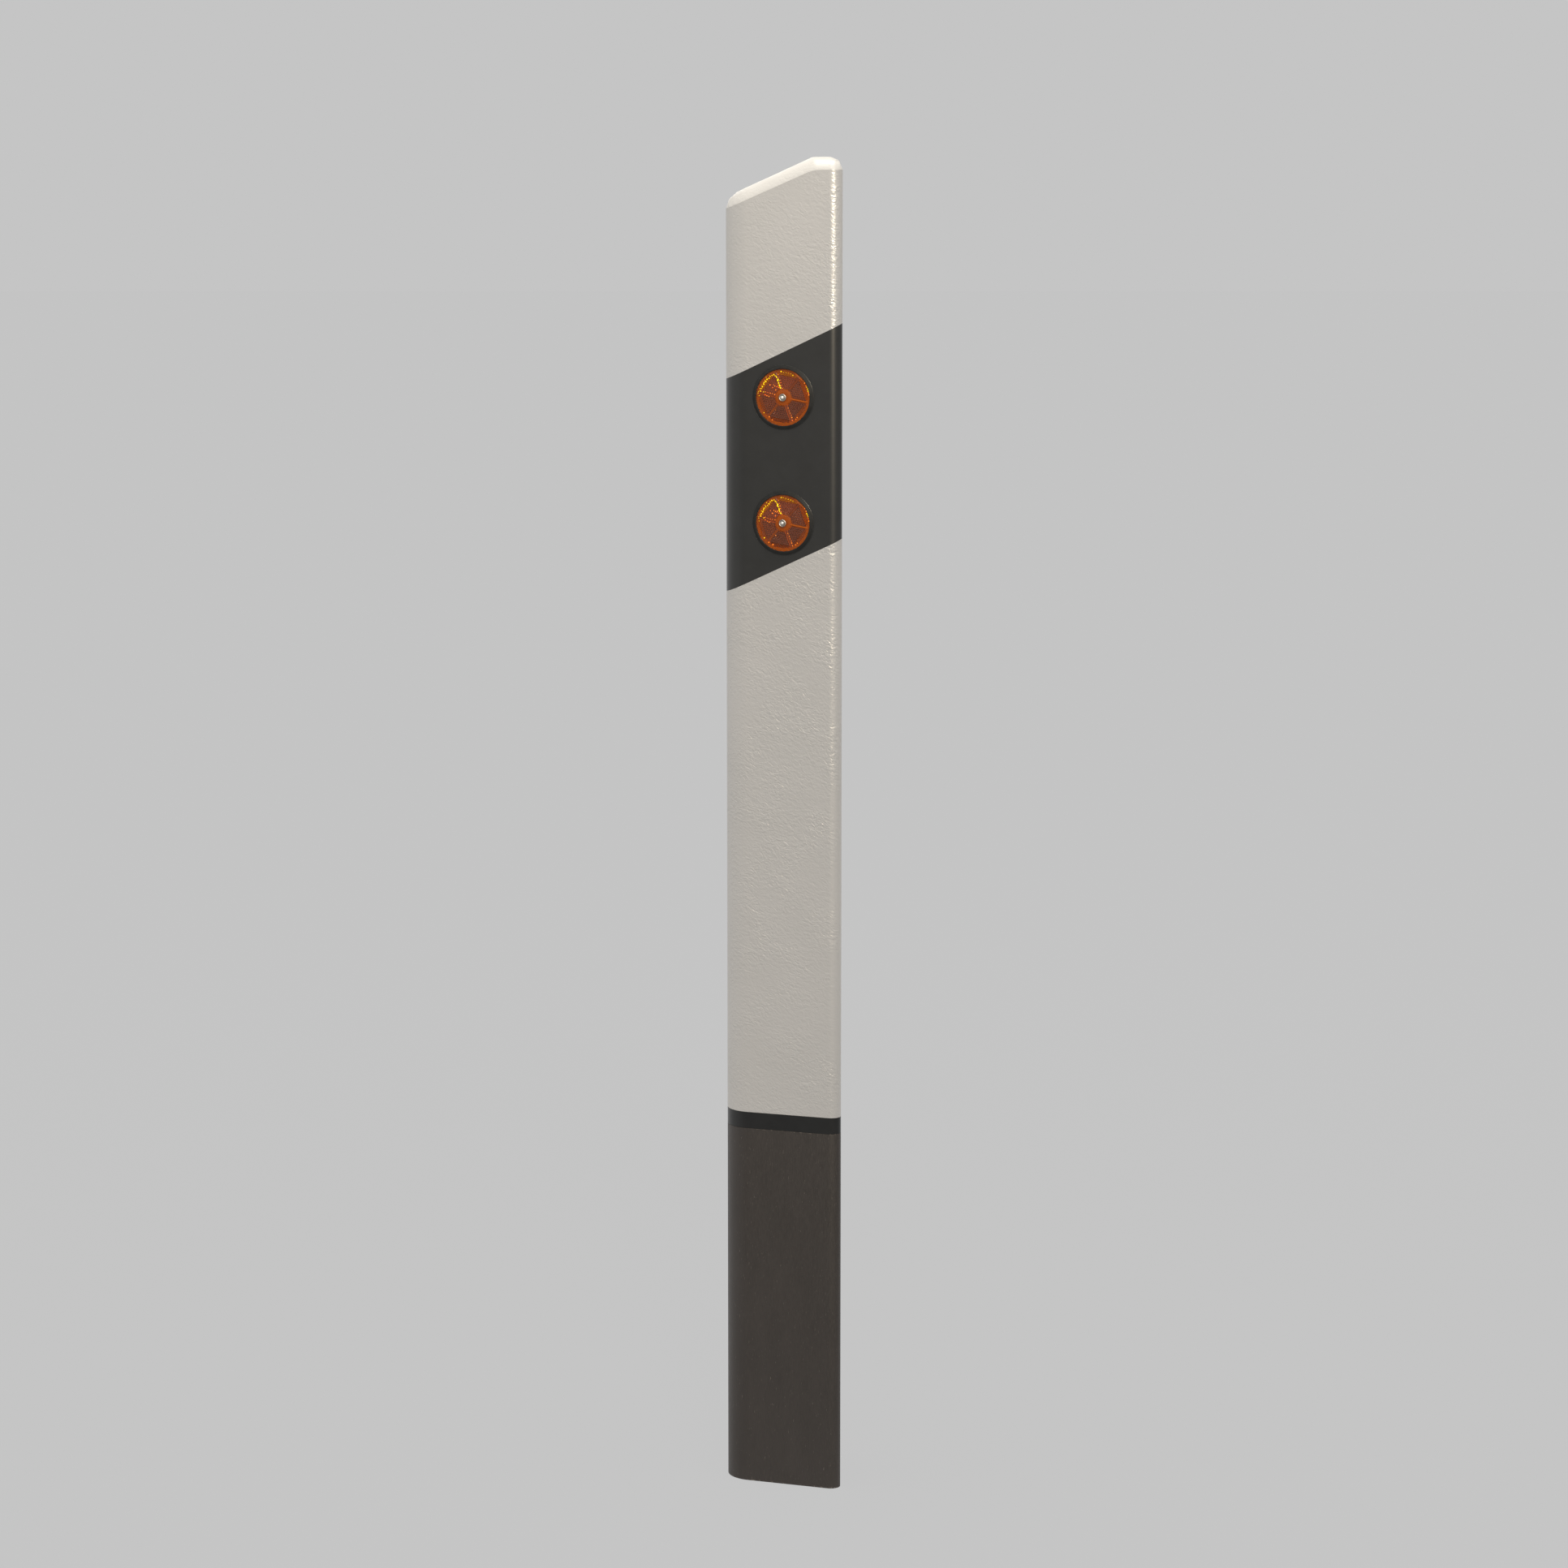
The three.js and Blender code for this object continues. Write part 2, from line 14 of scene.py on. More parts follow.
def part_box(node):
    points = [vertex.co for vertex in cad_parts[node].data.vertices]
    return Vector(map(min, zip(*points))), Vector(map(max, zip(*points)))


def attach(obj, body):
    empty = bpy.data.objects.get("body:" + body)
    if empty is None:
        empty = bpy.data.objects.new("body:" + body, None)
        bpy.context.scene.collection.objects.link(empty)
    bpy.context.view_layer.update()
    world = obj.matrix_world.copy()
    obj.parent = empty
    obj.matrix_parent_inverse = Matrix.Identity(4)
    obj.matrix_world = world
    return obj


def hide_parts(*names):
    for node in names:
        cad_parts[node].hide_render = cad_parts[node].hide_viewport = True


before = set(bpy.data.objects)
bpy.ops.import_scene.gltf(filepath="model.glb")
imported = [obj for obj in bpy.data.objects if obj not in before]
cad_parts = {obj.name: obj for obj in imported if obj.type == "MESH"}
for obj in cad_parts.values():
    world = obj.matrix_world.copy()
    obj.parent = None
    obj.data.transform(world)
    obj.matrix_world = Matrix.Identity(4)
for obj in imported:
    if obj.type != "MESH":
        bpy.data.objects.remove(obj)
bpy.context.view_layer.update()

MM = 0.001
GAP = 0.3 * MM
SEAM = 0.03 * MM
EDGE = 0.25 * MM

# Section of the post: a rounded isosceles triangle
SECTION_LOW, SECTION_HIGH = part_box("post_shell")
WIDTH = SECTION_HIGH.x - SECTION_LOW.x
DEPTH = SECTION_HIGH.y - SECTION_LOW.y
NOSE_RADIUS = 32 * MM
CORNER_RADIUS = 10.5 * MM
SMALLEST_CORNER = 0.6 * MM
NOSE_STEPS = 48
CORNER_STEPS = 20
FLAT_STEPS = 6
FLAT_MARGIN = 1.5 * MM

# Heights
FOOT_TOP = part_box("foot_shell")[1].z
COLLAR_TOP = SECTION_LOW.z
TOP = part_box("top_cap")[1].z
SPIGOT_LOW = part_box("coupling")[0].z
SPIGOT_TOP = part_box("coupling")[1].z
SHOULDER = 12 * MM
ROOF_SLOPE = 0.45
CREST_X = 31 * MM
CREASE_BEND = 40 * MM
CREST_BEND = 12 * MM
CREST_STEPS = 14

# The black band and its sleeve
BAND_SLOPE = 0.496
BAND_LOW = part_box("band_sleeve")[0].z - BAND_SLOPE * SECTION_LOW.x - GAP
BAND_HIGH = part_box("band_sleeve")[1].z - BAND_SLOPE * SECTION_HIGH.x + GAP
SLEEVE_WALL = 1.2 * MM

# Walls
POST_WALL = 3.5 * MM
FOOT_WALL = 4.5 * MM
FOOT_FLOOR = 5 * MM
FOOT_EDGE = 0.6 * MM
FOOT_EDGE_STEPS = 6
SPIGOT_WALL = 3 * MM
SPIGOT_PLAY = 0.8 * MM
SPIGOT_TAPER = 8 * MM
SPIGOT_LEAD = 1.5 * MM
DRAIN_RADIUS = 8 * MM
DRAIN_X = -25 * MM
SKIRT_HEIGHT = 16 * MM
SKIRT_WALL = 2.5 * MM
CAP_WALL = 3.5 * MM

# Reflectors: distances along the outward normal of the face are measured from the face
REFLECTOR_X = -1 * MM
LENS_RADIUS = 30 * MM
BEZEL_RADIUS = 34.5 * MM
BEZEL_FRONT = 2 * MM
BEZEL_EDGE = 0.35 * MM
BEZEL_LIP = 0.9 * MM
LENS_PLAY = 0.1 * MM
HOUSING_ROUNDING = 0.3 * MM
EDGE_BEAD = 0.3 * MM
EDGE_BEAD_HEIGHT = 0.27 * MM
POCKET_RADIUS = 32.8 * MM
POCKET_FLOOR = -6.6 * MM
POCKET_BACK = -9.1 * MM
POCKET_WALL = 2.7 * MM
CUP_SINK = 0.5 * MM
HOUSING_BACK = -6.3 * MM
HOUSING_FLOOR = -4.5 * MM
LENS_FRONT = 1.8 * MM
PLATE_BACK = -0.2 * MM
LENS_BACK = -4.2 * MM
LENS_ROUNDING = 0.5 * MM
LENS_BEVEL = 0.15 * MM
PRISM_TOP = -0.7 * MM
PRISM_BASE = -1.6 * MM
BACKING = 1.2 * MM
RIM_BACK = -2.4 * MM
RIM_DEPTH = 0.1 * MM
SEAT_WIDTH = 3.5 * MM
SEAL_FRONT = -2.7 * MM
SEAL_ROUNDING = 0.4 * MM
HAIR = 0.02 * MM
HUB_RADIUS = 8.4 * MM
HUB_SLOPE = 1.6 * MM
HUB_RISE = 0.2 * MM
HUB_FOOT = 0.9 * MM
RIM_WIDTH = 2.6 * MM
SECTORS = 6
SECTOR_TURN = math.radians(-10)
SECTOR_APOTHEM = 22.5 * MM
RIB_HALF = 1.5 * MM
RIB_LINE = 0.4 * MM
RIB_MIDDLE = 0.5 * MM
RIB_DROP = 0.35 * MM
LINE_RISE = 0.15 * MM
RIB_OVERLAP = 0.9
PRISM_ROWS = 9
PRISM_STEEPNESS = 0.35
PRISM_START = 0.93
BEAD_PITCH = 1.3 * MM
BEAD_SIZE = 0.46
BEAD_START = 0.6
BEAD_MARGIN = 1.2
BEAD_LEAN = 0.35
GLINT_SHIFT = 0.4 * MM
GLINT_SMALLEST = 0.6
GLINT_RISE = 0.3 * MM
ROUND_STEPS = 96

# The prism fields from the first one anticlockwise: material of the facets, of the facets
# beside the level ridges, and of the beads between the field and the rim. The upper fields
# take lighter and the lower fields darker copies of one amber, as painted light from above,
# and the facets beside the level ridges take a darker copy still, as painted shade
FIELDS = (
    ("prism", "prism_shade", "amber"),
    ("prism_high", "prism_low", "olive"),
    ("prism_high", "prism_low", "olive"),
    ("prism", "prism_shade", "dark_amber"),
    ("prism_low", "prism_shade", "rib"),
    ("prism_low", "prism_shade", "dark_amber"),
)

# The ribs from the first one anticlockwise: material of the strip, of the line along its
# clockwise edge, of the middle line and of the line along its anticlockwise edge. The line
# and red materials glow a little, as painted light
RIBS = (
    ("amber", None, "line", None),
    ("rib", None, None, None),
    ("rib", None, None, None),
    ("rib", "red", None, "red"),
    ("dark_amber", None, "amber", None),
    ("rib", "red", None, "red"),
)

# Rows of glinting cube corners, whose glowing materials are painted glints: material, their
# radius in mm, start and end of the row as (radius in mm, degrees), number
GLINTS = (
    ("gold", 0.85, (26.6, 119), (25.8, 140), 5),
    ("gold", 0.85, (25.9, 144), (26.4, 165), 5),
    ("gold", 0.50, (28.2, 132), (28.2, 168), 6),
    ("gold", 0.80, (27.0, 95), (27.0, 95), 1),
    ("gold", 0.70, (25.8, 65), (25.8, 65), 1),
    ("gold", 0.45, (26.6, 90), (26.4, 71), 4),
    ("gold", 0.80, (26.4, 113), (20.0, 107), 5),
    ("gold", 0.95, (19.4, 109), (10.8, 107), 6),
    ("spark", 0.60, (24.5, 103), (9.5, 97), 6),
    ("spark", 0.75, (15.4, 140), (11.6, 138), 2),
    ("spark", 0.75, (14.7, 128), (11.8, 115), 3),
    ("spark", 0.70, (19.4, 138), (14.2, 116), 3),
    ("gold", 0.60, (26.0, 166), (22.8, 167), 2),
    ("gold", 0.50, (28.2, 171), (27.3, 178), 2),
    ("spark", 0.70, (20.6, 173), (15.9, 177), 3),
    ("spark", 0.55, (21.0, 165), (9.8, 163), 5),
    ("spark", 0.85, (28.6, 34), (28.6, 27), 2),
    ("gold", 0.75, (28.6, 23), (28.6, 15), 3),
    ("spark", 0.80, (28.6, 11), (28.6, 6), 2),
    # A glowing arc of painted light on the rim, where the bezel's lip shades it
    ("line", 0.90, (28.6, 37), (28.6, 62), 14),
    ("gold", 0.80, (27.3, 218), (27.3, 218), 1),
    ("spark", 0.80, (26.5, 233), (26.4, 243), 2),
    ("spark", 0.70, (23.0, 294), (25.8, 293), 2),
    ("spark", 0.85, (26.8, 301), (26.2, 307), 2),
    ("spark", 0.55, (21.0, 295), (12.5, 296), 4),
    ("spark", 0.50, (15.6, 238), (15.6, 238), 1),
)

# The long reflector on the rear face
LONG_LENS = (40 * MM, 180 * MM)
LONG_CORNER = 5 * MM
LONG_RIVET_OFFSET = 70 * MM
LONG_CENTRE = sum(p.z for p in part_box("rear_reflector_lens")) / 2
LONG_FIELD = (31 * MM, 118 * MM)
LONG_PITCH = 1.6 * MM
LONG_STEEPNESS = 0.55
LONG_RIM = 5 * MM
LONG_RIM_FOOT = 5.6 * MM
LONG_SEAL_WIDTH = 6 * MM
LONG_SEAL_FRONT = -2.9 * MM

# Blind rivets
RIVET_HOLE = 2.4 * MM
WASHER_RADIUS = 6 * MM
WASHER_THICKNESS = 1.2 * MM
WASHER_ROUNDING = 0.2 * MM
COUNTERSINK_RADIUS = 4.8 * MM
COUNTERSINK_DEPTH = 2.2 * MM
FOOT_DRILLING = 30 * MM
OVERSHOOT = 0.2 * MM
FOOT_RIVET_ROUNDING = 0.2 * MM
RIVET_STEPS = 32
RIVET_SHARP = math.radians(50)

# Profiles of the rivets and mandrels: radius in mm, and height in mm from the face that the
# tail or the head bears on
RIVET_TAIL = ((1.5, -3.2), (2.6, -3.2), (3.3, -2.2), (3.3, -0.7), (2.0, 0))
RIVET_HEAD = (
    (2.0, 0.02), (4.0, 0.02), (4.0, 0.45), (3.7, 0.8), (3.45, 0.95), (3.15, 0.85), (2.9, 0.4),
    (2.5, 0.15), (1.5, 0.1),
)
MANDREL_TAIL = ((0, -4.8), (1.9, -4.4), (1.9, -3.6), (1.2, -3.5))
MANDREL_TIP = (
    (1.2, 0.2), (1.6, 0.25), (1.75, 0.8), (1.75, 1.9), (1.6, 2.3), (1.2, 2.55), (0.7, 2.65),
    (0.4, 2.55), (0, 2.5),
)
FOOT_RIVET_TAIL = ((1.5, -3.4), (2.6, -3.4), (3.2, -2.4), (3.2, -0.8), (2.0, 0))
FOOT_RIVET_HEAD = ((2.0, -2.4), (4.0, -0.4), (1.5, -0.4))
FOOT_MANDREL_TAIL = ((0, -5.2), (1.9, -4.8), (1.9, -3.8), (1.2, -3.7))
FOOT_MANDREL_TIP = ((1.2, -0.8), (0, -0.7))

# Grain of the white plastic: noise scales are per metre
GRAIN_SLANT = math.radians(26)
GRAIN_STRETCH = (1.7, 1.3, 1)
GRAIN_DEPTH = 1.2 * MM
WRINKLE_SCALE = 340
FOLD_SCALE = 205
PATCH_SCALE = 26
CALM_FROM = 0.9

# Camera, lights and floor
CAMERA_DISTANCE = 4.787
CAMERA_HEIGHT = 1.506
CAMERA_PITCH = math.radians(8.748)
CAMERA_LENS = 103
CAMERA_SENSOR = 36
STUDIO_GREY = 0.558
FLOOR_BOUNCE = 0.28
FLOOR_SEEN = 0.96 * STUDIO_GREY
FLOOR_TURN = -0.5
FLOOR_NEAR = -0.8
FLOOR_FAR = 0.6
FLOOR_SIZE = 60

# Area lights: name, place, aim, side of the square, watts, colour
LAMPS = (
    ("key", (0.4, -2.3, 2.6), (0, 0, 1.0), 0.5, 16, (1.0, 0.95, 0.90)),
    ("overhead", (-0.05, -0.10, 2.35), (0, 0, 1.4), 0.5, 8.5, (1.0, 0.98, 0.91)),
    ("fill", (-0.6, 2.8, 2.2), (0, 0, 0.9), 1.0, 2, (1.0, 1.0, 1.0)),
    ("glint", (0.4, -2.0, 2.0), (0.05, 0, 1.3), 0.2, 155, (1.0, 0.86, 0.64)),
)

SHARP = math.radians(28)
CAP_SHARP = math.radians(60)
FACET_SHARP = 0.05
NOSE_X = NOSE_RADIUS - WIDTH / 2
CORNER_X = WIDTH / 2 - CORNER_RADIUS
CORNER_Y = DEPTH / 2 - CORNER_RADIUS
FACE_ANGLE = math.atan2(CORNER_Y, CORNER_X - NOSE_X) - math.asin(
    (NOSE_RADIUS - CORNER_RADIUS) / math.hypot(CORNER_X - NOSE_X, CORNER_Y)
)


# ---- Materials


def add_node(tree, kind, inputs=None, **settings):
    """A new shader node with its settings, its values and its links."""
    made = tree.nodes.new("ShaderNode" + kind)
    for key, value in settings.items():
        setattr(made, key, value)
    for key, value in (inputs or {}).items():
        if isinstance(value, bpy.types.NodeSocket):
            tree.links.new(value, made.inputs[key])
        else:
            made.inputs[key].default_value = value
    return made


def new_material(name, **values):
    """A material whose Principled shader has these values."""
    material = bpy.data.materials.new(name)
    material.use_nodes = True
    shader = material.node_tree.nodes["Principled BSDF"]
    for key, value in values.items():
        shader.inputs[key.replace("_", " ")].default_value = value
    return material, material.node_tree, shader


def object_place(tree, scale=(1, 1, 1)):
    """The point's place on the object, stretched along the axes."""
    place = add_node(tree, "TexCoord").outputs["Object"]
    return add_node(tree, "Mapping", {"Vector": place, "Scale": scale}).outputs["Vector"]


def noise(tree, place, scale, detail=2.0, roughness=0.5, distortion=0.0):
    settings = {"Scale": scale, "Detail": detail, "Roughness": roughness}
    inputs = {"Vector": place, "Distortion": distortion, **settings}
    return add_node(tree, "TexNoise", inputs).outputs["Fac"]


def ramp(tree, value, low, high, start=0.0, end=1.0):
    inputs = {"Value": value, "From Min": low, "From Max": high, "To Min": start, "To Max": end}
    return add_node(tree, "MapRange", inputs).outputs["Result"]


def maths(tree, operation, a, b=0.0):
    return add_node(tree, "Math", {0: a, 1: b}, operation=operation).outputs["Value"]


def colour_mix(tree, factor, a, b):
    made = add_node(tree, "Mix", data_type="RGBA")
    tree.links.new(factor, made.inputs["Factor"])
    for index, value in ((6, a), (7, b)):
        if isinstance(value, bpy.types.NodeSocket):
            tree.links.new(value, made.inputs[index])
        else:
            made.inputs[index].default_value = (*value, 1)
    return made.outputs[2]


def bump(tree, height, distance, strength=1.0, under=None):
    inputs = {"Height": height, "Distance": distance, "Strength": strength}
    if under is not None:
        inputs["Normal"] = under
    return add_node(tree, "Bump", inputs).outputs["Normal"]


def leather_grain(tree):
    """Short wavy wrinkles that lie across the height at a slant.

    They are calmer towards the top and on the base wall, and strong around its corners.
    """
    place = add_node(tree, "TexCoord").outputs["Object"]
    inputs = {"Vector": place, "Rotation": (0, GRAIN_SLANT, 0), "Scale": GRAIN_STRETCH}
    slanted = add_node(tree, "Mapping", inputs, vector_type="TEXTURE").outputs["Vector"]
    wrinkles = noise(tree, slanted, WRINKLE_SCALE, 2, 0.45, 0.8)
    fold = maths(tree, "SUBTRACT", noise(tree, slanted, FOLD_SCALE, 2, 0.45, 0.9), 0.5)
    folds = maths(tree, "ABSOLUTE", fold)
    patches = ramp(tree, noise(tree, place, PATCH_SCALE, 1), 0.35, 0.65, 0.45, 1.0)
    axes = add_node(tree, "SeparateXYZ", {"Vector": place}).outputs
    calm = ramp(tree, axes["Z"], CALM_FROM, TOP, 1.0, 0.4)
    corner = ramp(tree, axes["X"], CORNER_X - 8 * MM, CORNER_X + 3 * MM, calm, 0.85)
    wall = ramp(tree, axes["X"], CORNER_X + 6 * MM, CORNER_X + 10 * MM, 1.0, 0.5)
    depth = maths(tree, "MULTIPLY", maths(tree, "MULTIPLY", patches, corner), wall)
    both = maths(tree, "SUBTRACT", wrinkles, maths(tree, "MULTIPLY", folds, 1.2))
    return maths(tree, "MULTIPLY", both, depth)


def white_plastic():
    """Warm white polyethylene with the leathery grain of a slightly wrinkled skin."""
    material, tree, shader = new_material("white_plastic", Roughness=0.37, Specular_IOR_Level=0.8)
    place = object_place(tree)
    grain = bump(tree, leather_grain(tree), GRAIN_DEPTH, 0.70)
    swell = bump(tree, noise(tree, place, 45, 2), 0.5 * MM, 0.25, grain)
    tree.links.new(swell, shader.inputs["Normal"])
    tone = ramp(tree, noise(tree, place, 9, 3), 0.3, 0.7)
    colour = colour_mix(tree, tone, (0.702, 0.666, 0.611), (0.735, 0.695, 0.640))
    tree.links.new(colour, shader.inputs["Base Color"])
    return material


def moulded(name, low, high, mottle, grain, depth, strength, **values):
    """A plain moulded surface: two near tones in soft patches, under a fine grain.

    mottle and grain hold the scale, detail, roughness and distortion of their noises.
    """
    material, tree, shader = new_material(name, **values)
    place = object_place(tree)
    tone = ramp(tree, noise(tree, place, *mottle), 0.3, 0.7)
    tree.links.new(colour_mix(tree, tone, low, high), shader.inputs["Base Color"])
    relief = bump(tree, noise(tree, place, *grain), depth, strength)
    tree.links.new(relief, shader.inputs["Normal"])
    return material


def foot_plastic():
    """Brown-black recycled plastic: short fine drag marks, tiny sparkles, worn edges with pale
    chips; the chips along the top edge grow stronger towards the lit right side, as wear with a
    painted highlight.
    """
    material, tree, shader = new_material("foot_plastic", IOR=1.56)
    place = object_place(tree)
    drawn = object_place(tree, (1, 1, 0.11))
    streaks = noise(tree, drawn, 1300, 2, 0.6)
    broad = noise(tree, object_place(tree, (1, 1, 0.3)), 60, 3)
    tone = ramp(tree, maths(tree, "ADD", streaks, broad), 0.7, 1.3)
    plain = colour_mix(tree, tone, (0.0420, 0.0320, 0.0250), (0.0538, 0.0414, 0.0335))
    specks = ramp(tree, noise(tree, drawn, 1500, 1), 0.72, 0.78)
    flecked = colour_mix(tree, specks, plain, (0.15, 0.125, 0.10))
    axes = add_node(tree, "SeparateXYZ", {"Vector": place}).outputs
    height = axes["Z"]
    # Pale chips along the top edge grow stronger towards the right, where the key light falls: wear
    # with a painted highlight
    right = ramp(tree, axes["X"], -30 * MM, 50 * MM, 0.25, 1.0)
    rim = ramp(tree, height, FOOT_TOP - 1.3 * MM, FOOT_TOP - 0.5 * MM)
    upper = maths(tree, "MULTIPLY", rim, right)
    lower = ramp(tree, height, 2.0 * MM, 1.1 * MM)
    ragged = ramp(tree, noise(tree, place, 420, 3, 0.7), 0.57, 0.64)
    # Pale chips of wear along both edges, those along the top edge partly a painted highlight
    chips_and_painted_highlight = maths(tree, "MULTIPLY", maths(tree, "ADD", upper, lower), ragged)
    colour = colour_mix(tree, chips_and_painted_highlight, flecked, (0.26, 0.21, 0.165))
    tree.links.new(colour, shader.inputs["Base Color"])
    dull = ramp(tree, streaks, 0.3, 0.7, 0.36, 0.50)
    tree.links.new(dull, shader.inputs["Roughness"])
    rough = bump(tree, streaks, 0.14 * MM, 0.5)
    pitted = bump(tree, noise(tree, drawn, 520, 2, 0.6), 0.2 * MM, 0.4, rough)
    tree.links.new(pitted, shader.inputs["Normal"])
    return material


def bright_metal(name, colour, roughness):
    """Tumbled metal with fine scuffs."""
    material, tree, shader = new_material(name, Metallic=1.0)
    place = object_place(tree)
    scuffs = noise(tree, place, 1800, 3, 0.6, 0.5)
    tone = ramp(tree, scuffs, 0.3, 0.7)
    darker = tuple(0.8 * c for c in colour)
    tree.links.new(colour_mix(tree, tone, darker, colour), shader.inputs["Base Color"])
    dull = ramp(tree, scuffs, 0.3, 0.7, roughness, roughness + 0.12)
    tree.links.new(dull, shader.inputs["Roughness"])
    tree.links.new(bump(tree, scuffs, 0.03 * MM, 0.4), shader.inputs["Normal"])
    return material


def amber_solid(name, low, high, roughness, glow=0.0):
    """Amber plastic seen through its clear front, with faint flow marks.

    Facets that throw the light straight back are given a little light of their own: a painted
    glow that stands in for the light they return.
    """
    material, tree, shader = new_material(name, Roughness=roughness, Specular_IOR_Level=0.1)
    place = object_place(tree)
    tone = ramp(tree, noise(tree, place, 350, 3, 0.6, 0.6), 0.32, 0.68)
    colour = colour_mix(tree, tone, low, high)
    tree.links.new(colour, shader.inputs["Base Color"])
    if glow:
        tree.links.new(colour, shader.inputs["Emission Color"])
        shader.inputs["Emission Strength"].default_value = glow
    return material


def clear_amber():
    """The polished front of a lens: a clear layer that tints and mirrors."""
    material = bpy.data.materials.new("clear_amber")
    material.use_nodes = True
    tree = material.node_tree
    tree.nodes.remove(tree.nodes["Principled BSDF"])
    place = object_place(tree)
    tone = ramp(tree, noise(tree, place, 60, 2), 0.3, 0.7)
    tint = colour_mix(tree, tone, (1.0, 0.985, 0.96), (1.0, 0.99, 0.97))
    through = add_node(tree, "BsdfTransparent", {"Color": tint}).outputs["BSDF"]
    inputs = {"Base Color": (1, 1, 1, 1), "Metallic": 1.0, "Roughness": 0.06}
    gloss = add_node(tree, "BsdfPrincipled", inputs).outputs["BSDF"]
    slant = add_node(tree, "LayerWeight", {"Blend": 0.5}).outputs["Facing"]
    share = ramp(tree, maths(tree, "POWER", slant, 5), 0.0, 1.0, 0.012, 0.9)
    mixed = add_node(tree, "MixShader", {0: share, 1: through, 2: gloss}).outputs["Shader"]
    tree.links.new(mixed, tree.nodes["Material Output"].inputs["Surface"])
    return material


# Ambers: name, darker tone, lighter tone, roughness and, where there is one, glow, which is
# painted light: a painted glow on parts that are no lamps
AMBERS = {
    "amber": ("amber_plain", (0.50, 0.099, 0.002), (0.56, 0.115, 0.0025), 0.4),
    "dark_amber": ("amber_shaded", (0.38, 0.100, 0.030), (0.44, 0.118, 0.038), 0.4),
    "rib": ("amber_ribs", (0.29, 0.064, 0.016), (0.34, 0.075, 0.020), 0.4),
    # Lit and shaded copies of one prism amber: painted light from above and painted shade
    "prism_high": ("amber_prisms_painted_lit", (0.374, 0.088, 0.034), (0.424, 0.100, 0.039), 0.3),
    "prism": ("amber_prisms", (0.332, 0.090, 0.039), (0.377, 0.102, 0.045), 0.3),
    "prism_low": ("amber_prisms_painted_dim", (0.260, 0.081, 0.044), (0.294, 0.091, 0.050), 0.3),
    "prism_shade": ("amber_prisms_painted_shade", (0.158, 0.060, 0.035), (0.184, 0.068, 0.040), 0.3),
    "olive": ("amber_olive_painted_glow", (0.43, 0.14, 0.004), (0.62, 0.20, 0.005), 0.3, 0.05),
    "line": ("amber_line_painted_glow", (0.55, 0.125, 0.007), (0.61, 0.14, 0.009), 0.4, 0.25),
    "red": ("amber_red_line_painted_glow", (0.50, 0.115, 0.032), (0.58, 0.135, 0.040), 0.6, 0.1),
    "gold": ("amber_gold_painted_glint", (1.0, 0.62, 0.0), (1.0, 0.82, 0.0), 0.8, 0.9),
    "spark": ("amber_spark_painted_glint", (1.0, 0.13, 0.015), (1.0, 0.36, 0.015), 0.8, 1.0),
}

MATERIALS = {
    "white": white_plastic(),
    "band": moulded(
        "band_plastic", (0.034, 0.033, 0.030), (0.042, 0.041, 0.038),
        (30, 4, 0.6), (260, 2, 0.5, 1.0), 0.12 * MM, 0.35,
        Roughness=0.30, Specular_IOR_Level=0.40,
    ),
    "collar": moulded(
        "collar_plastic", (0.0155, 0.0152, 0.0142), (0.0205, 0.0200, 0.0186),
        (60, 3), (900, 2), 0.05 * MM, 0.3, Roughness=0.28, IOR=1.47,
    ),
    "foot": foot_plastic(),
    "housing": moulded(
        "housing_plastic", (0.027, 0.027, 0.0255), (0.040, 0.040, 0.0375),
        (120, 3), (1400, 2), 0.03 * MM, 0.3, Roughness=0.6, Specular_IOR_Level=0.05,
    ),
    "rubber": moulded(
        "seal_rubber", (0.012, 0.012, 0.012), (0.022, 0.022, 0.021),
        (300, 3), (1500, 2), 0.08 * MM, 0.5, Roughness=0.85,
    ),
    "aluminium": bright_metal("rivet_aluminium", (0.26, 0.255, 0.25), 0.42),
    "steel": bright_metal("mandrel_steel", (0.52, 0.52, 0.53), 0.42),
    "clear": clear_amber(),
    **{key: amber_solid(*values) for key, values in AMBERS.items()},
}


# ---- Meshes


def make_object(name, points, faces, *materials, slots=None, sharp=SHARP):
    """A mesh object with smooth faces and sharp edges where the surface turns hard."""
    mesh = bpy.data.meshes.new(name)
    mesh.from_pydata([tuple(p) for p in points], [], faces)
    mesh.validate()
    for material in materials:
        mesh.materials.append(MATERIALS[material])
    if slots:
        mesh.polygons.foreach_set("material_index", slots)
    mesh.polygons.foreach_set("use_smooth", [True] * len(mesh.polygons))
    mesh.set_sharp_from_angle(angle=sharp)
    made = bpy.data.objects.new(name, mesh)
    bpy.context.scene.collection.objects.link(made)
    return made


def arc(centre, radius, start, end, steps):
    angles = [start + (end - start) * i / steps for i in range(steps + 1)]
    return [(centre[0] + radius * math.cos(a), centre[1] + radius * math.sin(a)) for a in angles]


def face_y(x, inset=0.0):
    """Distance from the X axis to a flat face that lies inset inside the outer one."""
    rise = (x - NOSE_X) * math.sin(FACE_ANGLE)
    return (NOSE_RADIUS - inset + rise) / math.cos(FACE_ANGLE)


def flat_places(start, end):
    """Places along a flat face: close to both ends, at the crest's bend, and between."""
    reach = CREASE_BEND * math.tan(math.atan(ROOF_SLOPE) / 2)
    bend = [CREST_X + reach - 2 * reach * i / CREST_STEPS for i in range(CREST_STEPS + 1)]
    low = CREST_X - reach
    high = end + FLAT_MARGIN
    plain = [low + (high - low) * i / FLAT_STEPS for i in range(1, FLAT_STEPS + 1)]
    return [start - FLAT_MARGIN, *bend, *plain]


